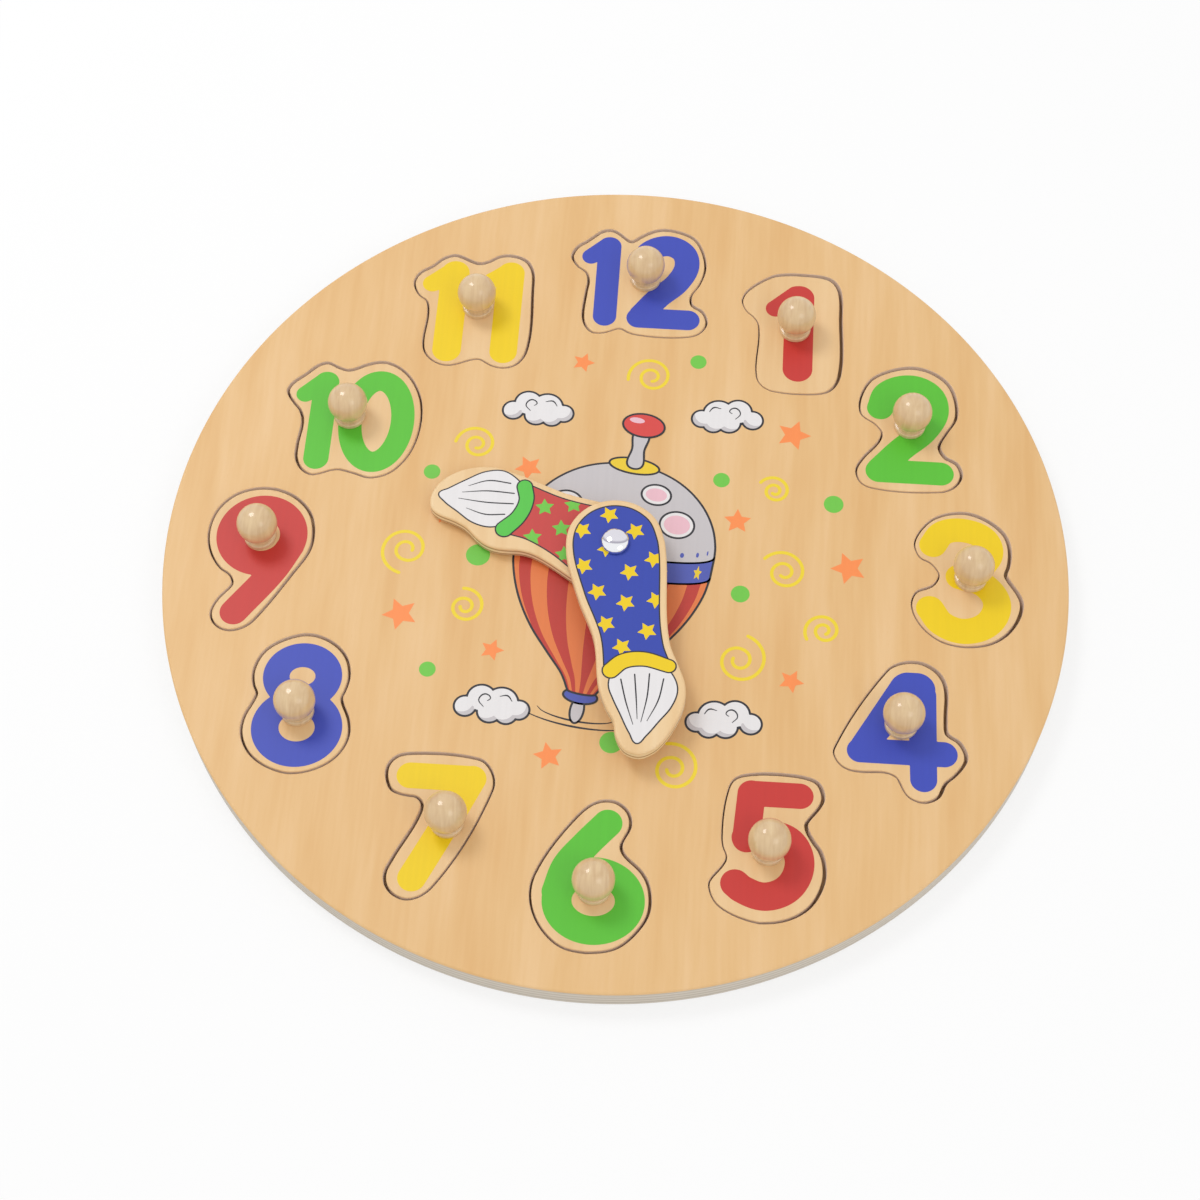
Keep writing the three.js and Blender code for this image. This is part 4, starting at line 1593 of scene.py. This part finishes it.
    def build_top(self) -> None:
        """Prints the top: a spotted dome, a starry belt, a striped bowl, a foot and a knob on a shaft."""
        belt_top, belt_bottom = self.dome[0][1], self.bowl[0][1]
        right = smooth_line(self.dome, False, self.side_step)
        arch = np.vstack([right, (right * (-1, 1))[::-1][1:]])
        crown = Outline.joined(arch[1:-1], self.girth(self.rim, belt_top, -90, 90))
        belt = Outline.joined(self.girth(self.rim, belt_top, 90, -90),
                              self.girth(self.rim, belt_bottom, -90, 90))
        bowl = Outline.joined(self.girth(self.rim, belt_bottom, 90, -90), self.flank(-1)[1:-1],
                              self.girth(*self.bowl[-1], -90, 90), self.flank(1)[::-1][1:-1])
        self.lay_ringed(Outline.oval(*self.foot_tip), Ink.GREY, 0)
        self.lay_ringed(Outline.oval(*self.foot_collar), Ink.VIOLET, 1)
        for shape, ink in ((crown, Ink.GREY), (bowl, Ink.STRIPE_RED), (belt, Ink.VIOLET)):
            self.lay_ringed(shape, ink, 3)
        self.lay_stripes(bowl)
        self.lay_dome_marks()
        for degrees in self.belt_stars:
            place = self.girth(self.rim, belt_bottom + self.belt / 2, degrees, degrees)[0]
            radii = (self.belt_star_radius * math.cos(math.radians(degrees)), self.belt_star_radius)
            self.lay(Outline(star_points(self.belt_star_waist) * radii + place), Ink.YELLOW, 5)
        self.lay_ringed(Outline.oval(*self.crown_collar), Ink.YELLOW, 5)
        self.lay_ringed(Outline.smooth(self.shaft), Ink.GREY, 7)
        self.lay_ringed(Outline.oval(*self.knob), Ink.RED, 9)
        self.lay(Outline.oval(*self.knob_gleam), Ink.PINK, 11)

    def lay_stripes(self, bowl: Outline) -> None:
        """Prints every other meridian stripe of the bowl orange. The height at which a place in the
        picture lies on the bowl depends on the bowl's girth there, so a few rounds find both.

        Args:
            bowl: the bowl's outline.
        """
        grid = Grid.over(bowl.points, 0, self.widest_step)
        side = smooth_line(self.bowl, False, self.stripe_side_step)[::-1]
        across, up = grid.places[..., 0], grid.places[..., 1]
        level = up
        for _ in range(self.stripe_rounds):
            girth = np.interp(level, side[:, 1], side[:, 0])
            level = up + self.sight * np.sqrt(np.maximum(girth**2 - across**2, 0))
        turn = np.arcsin(np.clip(across / girth, -1, 1))
        stripes = np.abs(np.degrees(turn) / self.stripe % 2 - 1) - 0.5
        stripes *= math.radians(self.stripe) * girth * np.cos(turn)
        shape = np.maximum(stripes, grid.inside(bowl) + self.line)
        for line in grid.contours(shape):
            if Outline(line).area() > self.smallest_stripe:
                self.lay(Outline(line), Ink.STRIPE_ORANGE, 5)

    def lay_dome_marks(self) -> None:
        """Prints the dome's gleam, its ringed spots and the rivets along its rim."""
        start, end = self.gleam_ends
        outer, inner = (self.girth(radius, height, *ends) * (1, -1) + (0, mirror)
                        for (radius, height, mirror), ends in zip(self.gleam, ((start, end), (end, start))))
        self.lay(Outline.joined(outer, inner), Ink.WHITE, 5)
        ring, gap = self.spot_ring, self.spot_gap
        for centre, (wide, high) in self.spots:
            self.lay_ringed(Outline.oval(centre, (wide + ring, high + ring)), Ink.WHITE, 5)
            self.lay(Outline.oval(centre, (wide - gap, high - gap)), Ink.PINK, 7)
        inward, upward = self.rivet_inset
        for degrees in self.rivets:
            place = self.girth(self.rim - inward, self.dome[0][1] + upward, degrees, degrees)[0]
            radii = (self.rivet_radius * math.cos(math.radians(degrees)), self.rivet_radius)
            self.lay(Outline.oval(tuple(place), radii, self.rivet_facets), Ink.VIOLET, 5)

    def cloud(self, grid: Grid, puff: Place, shade: Point = (0.0, 0.0)) -> np.ndarray:
        """Draws a puff's lobes.

        Args:
            grid: the grid that takes them.
            puff: the puff's middle and side.
            shade: how far the lobes are moved, towards the puff's side and up.

        Returns:
            The lobes' field.
        """
        x, y, side = puff
        return np.minimum.reduce([
            np.linalg.norm(grid.places - (x + (u - shade[0]) * side, y + v + shade[1]), axis=-1) - radius
            for u, v, radius in self.puff_lobes
        ])

    def build_puffs(self) -> None:
        """Prints the puffs of dust, each a ringed cloud with a shaded side and a curl."""
        for puff in self.puffs:
            x, y, side = puff
            grid = Grid.over(np.array([(x, y)]), self.puff_half, self.widest_step)
            cloud, lit = self.cloud(grid, puff), self.cloud(grid, puff, self.puff_shade)
            self.design.lay_field(grid, cloud - self.line, Ink.DARK, 0)
            self.design.lay_field(grid, cloud + self.line, Ink.WHITE, 1)
            self.design.lay_field(grid, np.maximum(cloud + self.line, -lit), Ink.GREY, 2)
            for curl in self.puff_curls:
                line = Stroke(tuple((x + u * side, y + v) for u, v in curl), self.puff_pen)
                self.design.lay_field(grid, line.on(grid), Ink.DARK, 3)

    def build_swirls(self) -> None:
        """Prints the lines that the spinning foot draws."""
        for across, down, start, end in self.swirls:
            turns = np.radians(np.linspace(start, end, self.swirl_points))
            arc = Outline(np.column_stack([across * np.cos(turns), down * np.sin(turns) + self.swirl_height]))
            line = arc.moved(self.centre, -self.lean).points
            grid = Grid.over(line, *self.swirl_grid)
            swirl = grid.stroke(smooth_line(line, False, self.swirl_step), self.swirl_pen)
            self.design.lay_field(grid, swirl, Ink.DARK, 0)

    def build(self) -> None:
        """Prints the picture."""
        self.build_top()
        self.build_puffs()
        self.build_swirls()
        self.design.build("board", "face_board")
        log.info("picture: %d faces in %d inks", len(self.design.draft.faces), len(self.design.inks))


@dataclass
class Confetti:
    """The stars, dots and spirals printed round the middle of the face. Each is its place and its radius,
    and a star or spiral also the degrees that it is turned by or starts at."""

    surface: float
    stars: tuple[Quad, ...] = (
        (-15.9, 76.3, 4.0, -18), (-31.4, 32.7, 4.9, 30), (-58.3, 13.6, 4.5, 18), (-69, -25.5, 6.0, 26),
        (-37.8, -36.7, 4.0, -18), (-16.6, -72.9, 4.85, 14), (57.8, 51.35, 6.0, -18), (40, 16.4, 4.75, 0),
        (77.45, 0.9, 6.1, 22), (59.6, -41.7, 4.25, 46),
    )
    star_waist: float = 0.48
    dots: tuple[Place, ...] = (
        (24, 79, 2.8), (-64, 29, 2.8), (-45.5, -2, 4), (-58, -45, 2.7), (3, -67, 3.7), (42, -11, 3.1),
        (72, 25, 3.3), (34, 32, 2.8),
    )
    dot_facets: int = 40
    spirals: tuple[Quad, ...] = (
        (8, 71.8, 8.1, 191), (-49.85, 40.9, 7.3, 175), (-69.5, -1.35, 9.1, 260), (-48.1, -21.4, 6.7, 98),
        (23.1, -74.7, 8.8, 105), (52, 29, 5.6, 148), (56.1, -1.85, 8.0, 144), (69.65, -22.8, 6.4, 212),
        (42.6, -35.2, 9.2, 74),
    )
    # The share of its radius that a spiral reaches after each quarter turn
    spiral_reach: tuple[float, ...] = (1, 0.84, 0.72, 0.58, 0.44, 0.36, 0.30, 0.22)
    spiral_degrees: int = 10
    spiral_width: float = 0.58
    spiral_step: float = 0.25

    def spiral(self, x: float, y: float, radius: float, start: float) -> np.ndarray:
        """Draws a spiral's centre line, which runs in clockwise.

        Args:
            x: the place of its middle across the face.
            y: the place of its middle up the face.
            radius: its radius.
            start: the degrees, counter-clockwise from the right, where it starts.

        Returns:
            The line's points.
        """
        turned = np.arange(0, (len(self.spiral_reach) - 1) * 90 + 1, self.spiral_degrees)
        reach = radius * np.interp(turned / 90, range(len(self.spiral_reach)), self.spiral_reach)
        angle = np.radians(start - turned)
        return np.column_stack([x + reach * np.cos(angle), y + reach * np.sin(angle)])

    def build(self) -> None:
        """Prints the confetti."""
        design = Print("face_confetti", self.surface)
        for x, y, radius, turn in self.stars:
            star = Outline(star_points(self.star_waist)).moved((x, y), turn, radius)
            design.lay([star.points], Ink.STAR_ORANGE, 0)
        for x, y, radius in self.dots:
            design.lay([Outline.circle((x, y), radius, self.dot_facets).points], Ink.DOT_GREEN, 0)
        for x, y, radius, start in self.spirals:
            grid = Grid.over(np.array([(x, y)]), radius + 2 * self.spiral_width, self.spiral_step)
            line = self.spiral(x, y, radius, start)
            design.lay_field(grid, grid.stroke(line, (self.spiral_width,)), Ink.SPIRAL_YELLOW, 0)
        design.build("board", "face_board")
        counts = [len(marks) for marks in (self.stars, self.dots, self.spirals)]
        log.info("confetti: %d stars, %d dots, %d spirals", *counts)


@dataclass
class Pivot:
    """The domed post, its screw from below and the washers."""

    chrome: bpy.types.Material
    zinc: bpy.types.Material
    fibre: bpy.types.Material
    post_radius: float = 3.0
    bore_radius: float = 2.1
    bore_end: float = 3.0
    head_radius: float = 4.7
    head_height: float = 3.1
    head_arris: float = 0.15
    head_edge: float = 0.5
    dome_steps: int = 12
    facets: int = 64

    def build(self) -> None:
        """Builds the post over its frame node and dresses the rest."""
        low, high = node_box("pivot_post")
        head = high.z - self.head_height
        rise = high.z - head - self.head_edge
        dome = [(self.head_radius * math.cos(turn), head + self.head_edge + rise * math.sin(turn))
                for turn in quarter_turns(self.dome_steps)]
        dome[-1] = (0, high.z)
        profile = [(0, head - self.bore_end), (self.bore_radius, head - self.bore_end),
                   (self.bore_radius, low.z), (self.post_radius, low.z), (self.post_radius, head),
                   (self.head_radius - self.head_arris, head),
                   (self.head_radius, head + self.head_arris), *dome]
        draft = MeshDraft()
        draw_turned(draft, profile, (0, 0), 0, self.facets)
        piece = draft.build("chromed_post", [self.chrome])
        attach(piece, "board")
        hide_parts("pivot_post")
        dress_node("pivot_screw", self.zinc)
        dress_node("lower_washer", self.fibre)
        dress_node("upper_washer", self.fibre)
        log.info("pivot: post, screw and washers")


@dataclass(frozen=True)
class Lamp:
    """A soft round lamp that faces the board, so many millimetres wide and of so many watts."""

    name: str
    place: Place
    size: float
    power: float

    def build(self) -> None:
        """Makes the lamp."""
        light = bpy.data.lights.new(self.name, "AREA")
        light.shape = "DISK"
        light.size = self.size * MM
        light.energy = self.power
        lamp = bpy.data.objects.new(self.name, light)
        lamp.location = Vector(self.place) * MM
        lamp.rotation_euler = (-lamp.location).to_track_quat("-Z", "Y").to_euler()
        bpy.context.scene.collection.objects.link(lamp)


@dataclass
class Studio:
    """The pale floor, the soft lamps, the white surroundings and the camera of the photograph."""

    azimuth: float = 4.321
    elevation: float = 62.571
    roll: float = -0.524
    distance: float = 741.75
    target: Place = (-3.907, -16.216, 10.0)
    focal_pixels: float = 2256.07
    picture_pixels: float = 1200.0
    sensor: float = 36.0
    lamps: tuple[Lamp, ...] = (
        Lamp("key_lamp", (-620, 480, 1150), 500, 4.5),
        Lamp("fill_lamp", (700, -650, 950), 700, 1.7),
    )
    floor_size: float = 6000.0
    floor_overlap: float = 0.75
    floor_facets: int = 96
    # Matt white paint, which shows a shadow and no shine
    floor_paint: str = "#FCFCFC"
    # How much of the floor the camera sees as plain white, which leaves a part of the shadow
    floor_veil: float = 0.7
    white: str = "#FFFFFF"
    world_level: float = 0.73
    # The room as a shiny surface sees it: its tones, from 0 on the side that room_rise points away from
    # to 1 on the side that it points to
    room: tuple[tuple[float, str], ...] = (
        (0.0, "#F4F4F4"), (0.69, "#F4F4F4"), (0.73, "#B1ADB8"), (0.765, "#B1ADB8"), (0.83, "#E6E3E8"),
        (1.0, "#E4E1E6"),
    )
    room_rise: Place = (0.0, 0.887, 0.46)
    room_level: float = 1.2

    def build_camera(self) -> None:
        """Makes the camera at the photograph's view."""
        azimuth, elevation, roll = (math.radians(a) for a in (self.azimuth, self.elevation, self.roll))
        back = Vector((math.sin(azimuth) * math.cos(elevation), -math.cos(azimuth) * math.cos(elevation),
                       math.sin(elevation)))
        right = Vector((math.cos(azimuth), math.sin(azimuth), 0))
        up = back.cross(right)
        leant_right = right * math.cos(roll) + up * math.sin(roll)
        leant_up = up * math.cos(roll) - right * math.sin(roll)
        lens = bpy.data.cameras.new("camera")
        lens.sensor_width = self.sensor
        lens.lens = self.sensor * self.focal_pixels / self.picture_pixels
        camera = bpy.data.objects.new("camera", lens)
        place = (Vector(self.target) + back * self.distance) * MM
        turn = Matrix((leant_right, leant_up, back)).transposed().to_4x4()
        camera.matrix_world = Matrix.Translation(place) @ turn
        bpy.context.scene.collection.objects.link(camera)
        bpy.context.scene.camera = camera

    def tell_rays(self, tree: bpy.types.NodeTree) -> tuple[bpy.types.NodeSocket, bpy.types.NodeSocket]:
        """Adds the nodes that tell rays apart.

        Args:
            tree: the node tree that takes them.

        Returns:
            What is 1 for rays from the camera, and what is 1 for those from a shiny or clear surface.
        """
        ray = add_node(tree, "ShaderNodeLightPath")
        shiny = add_node(tree, "ShaderNodeMath", {"operation": "MAXIMUM"},
                         {0: ray.outputs["Is Glossy Ray"], 1: ray.outputs["Is Transmission Ray"]})
        return ray.outputs["Is Camera Ray"], shiny.outputs[0]

    def build_floor(self) -> None:
        """Makes the pale floor, which shows white to the camera and keeps the object's shadow. It is cut
        away under the board, where it doesn't show, so that the underside can be seen from below."""
        draft = MeshDraft()
        half = self.floor_size / 2
        square = draft.ring(np.array([[-half, -half], [half, -half], [half, half], [-half, half]]), 0)
        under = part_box("backing_board")[1].x / MM - self.floor_overlap
        draft.fill([square, draft.ring(Outline.circle((0, 0), under, self.floor_facets).points, 0)], True, 0)
        material = bpy.data.materials.new("matt_white_floor")
        tree = empty_tree(material)
        camera, shiny = self.tell_rays(tree)
        paint = add_node(tree, "ShaderNodeBsdfDiffuse", {"Color": linear(self.floor_paint)})
        glow = add_node(tree, "ShaderNodeEmission", {"Color": linear(self.white), "Strength": 1.0})
        veil = add_node(tree, "ShaderNodeMath", {"operation": "MULTIPLY", 1: self.floor_veil}, {0: camera})
        seen = add_node(tree, "ShaderNodeMath", {"operation": "MAXIMUM"}, {0: veil.outputs[0], 1: shiny})
        mix = add_node(tree, "ShaderNodeMixShader",
                       links={0: seen.outputs[0], 1: paint.outputs[0], 2: glow.outputs[0]})
        add_node(tree, "ShaderNodeOutputMaterial", links={"Surface": mix.outputs[0]})
        draft.build("floor", [material])

    def build_world(self) -> None:
        """Makes surroundings that light the object evenly and look white where they are seen."""
        world = bpy.data.worlds.new("white_surroundings")
        bpy.context.scene.world = world
        tree = empty_tree(world)
        camera, shiny = self.tell_rays(tree)
        seen = add_node(tree, "ShaderNodeMath", {"operation": "MAXIMUM"}, {0: camera, 1: shiny})
        place = add_node(tree, "ShaderNodeTexCoord").outputs["Generated"]
        rise = add_node(tree, "ShaderNodeVectorMath", {"operation": "DOT_PRODUCT", 1: self.room_rise},
                        {0: place})
        share = add_node(tree, "ShaderNodeMapRange", {"From Min": -1.0}, {"Value": rise.outputs["Value"]})
        room = add_node(tree, "ShaderNodeValToRGB", links={"Fac": share.outputs[0]})
        set_ramp(room, self.room)
        view = add_node(tree, "ShaderNodeMix", {"data_type": "RGBA", "B": linear(self.white)},
                        {"Factor": camera, "A": room.outputs["Color"]})
        soft = add_node(tree, "ShaderNodeBackground",
                        {"Color": linear(self.white), "Strength": self.world_level})
        bright = add_node(tree, "ShaderNodeBackground", {"Strength": self.room_level},
                          {"Color": view.outputs["Result"]})
        mix = add_node(tree, "ShaderNodeMixShader",
                       links={0: seen.outputs[0], 1: soft.outputs[0], 2: bright.outputs[0]})
        add_node(tree, "ShaderNodeOutputWorld", links={"Surface": mix.outputs[0]})

    def build(self) -> None:
        """Sets up the studio."""
        self.build_camera()
        self.build_floor()
        self.build_world()
        for lamp in self.lamps:
            lamp.build()
        bpy.context.scene.view_settings.view_transform = "Standard"
        log.info("studio: floor, surroundings, %d lamps and camera", len(self.lamps))


def main() -> None:
    """Builds the puzzle's pieces and the studio."""
    logging.basicConfig(level=logging.INFO, format="%(message)s")
    woods = Woods.mixed()
    # Zinc-plated steel: grey, with a soft shine
    zinc = PlatedMetal("zinc_plated_steel", "#B9BCC0", 0.32).material()
    # Chrome-plated and polished steel: a bright mirror
    chrome = PlatedMetal("polished_chrome", "#E6E7EA", 0.06).material()
    # Pressed fibre: off-white, speckled and matt
    fibre = PressedFibre("pressed_fibre", "#F0EADD", "#DDD3C0").material()
    FaceBoard(woods).build()
    BackingBoard(woods).build()
    for hour in range(1, HOURS + 1):
        NumberTile(hour, woods, zinc).build()
    hour_hand(woods).build()
    minute_hand(woods).build()
    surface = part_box("face_board")[1].z / MM
    ToyTopPicture(surface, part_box("lower_washer")[1].x / MM + WASHER_MARGIN).build()
    Confetti(surface).build()
    Pivot(chrome, zinc, fibre).build()
    Studio().build()


if __name__ == "__main__":
    main()
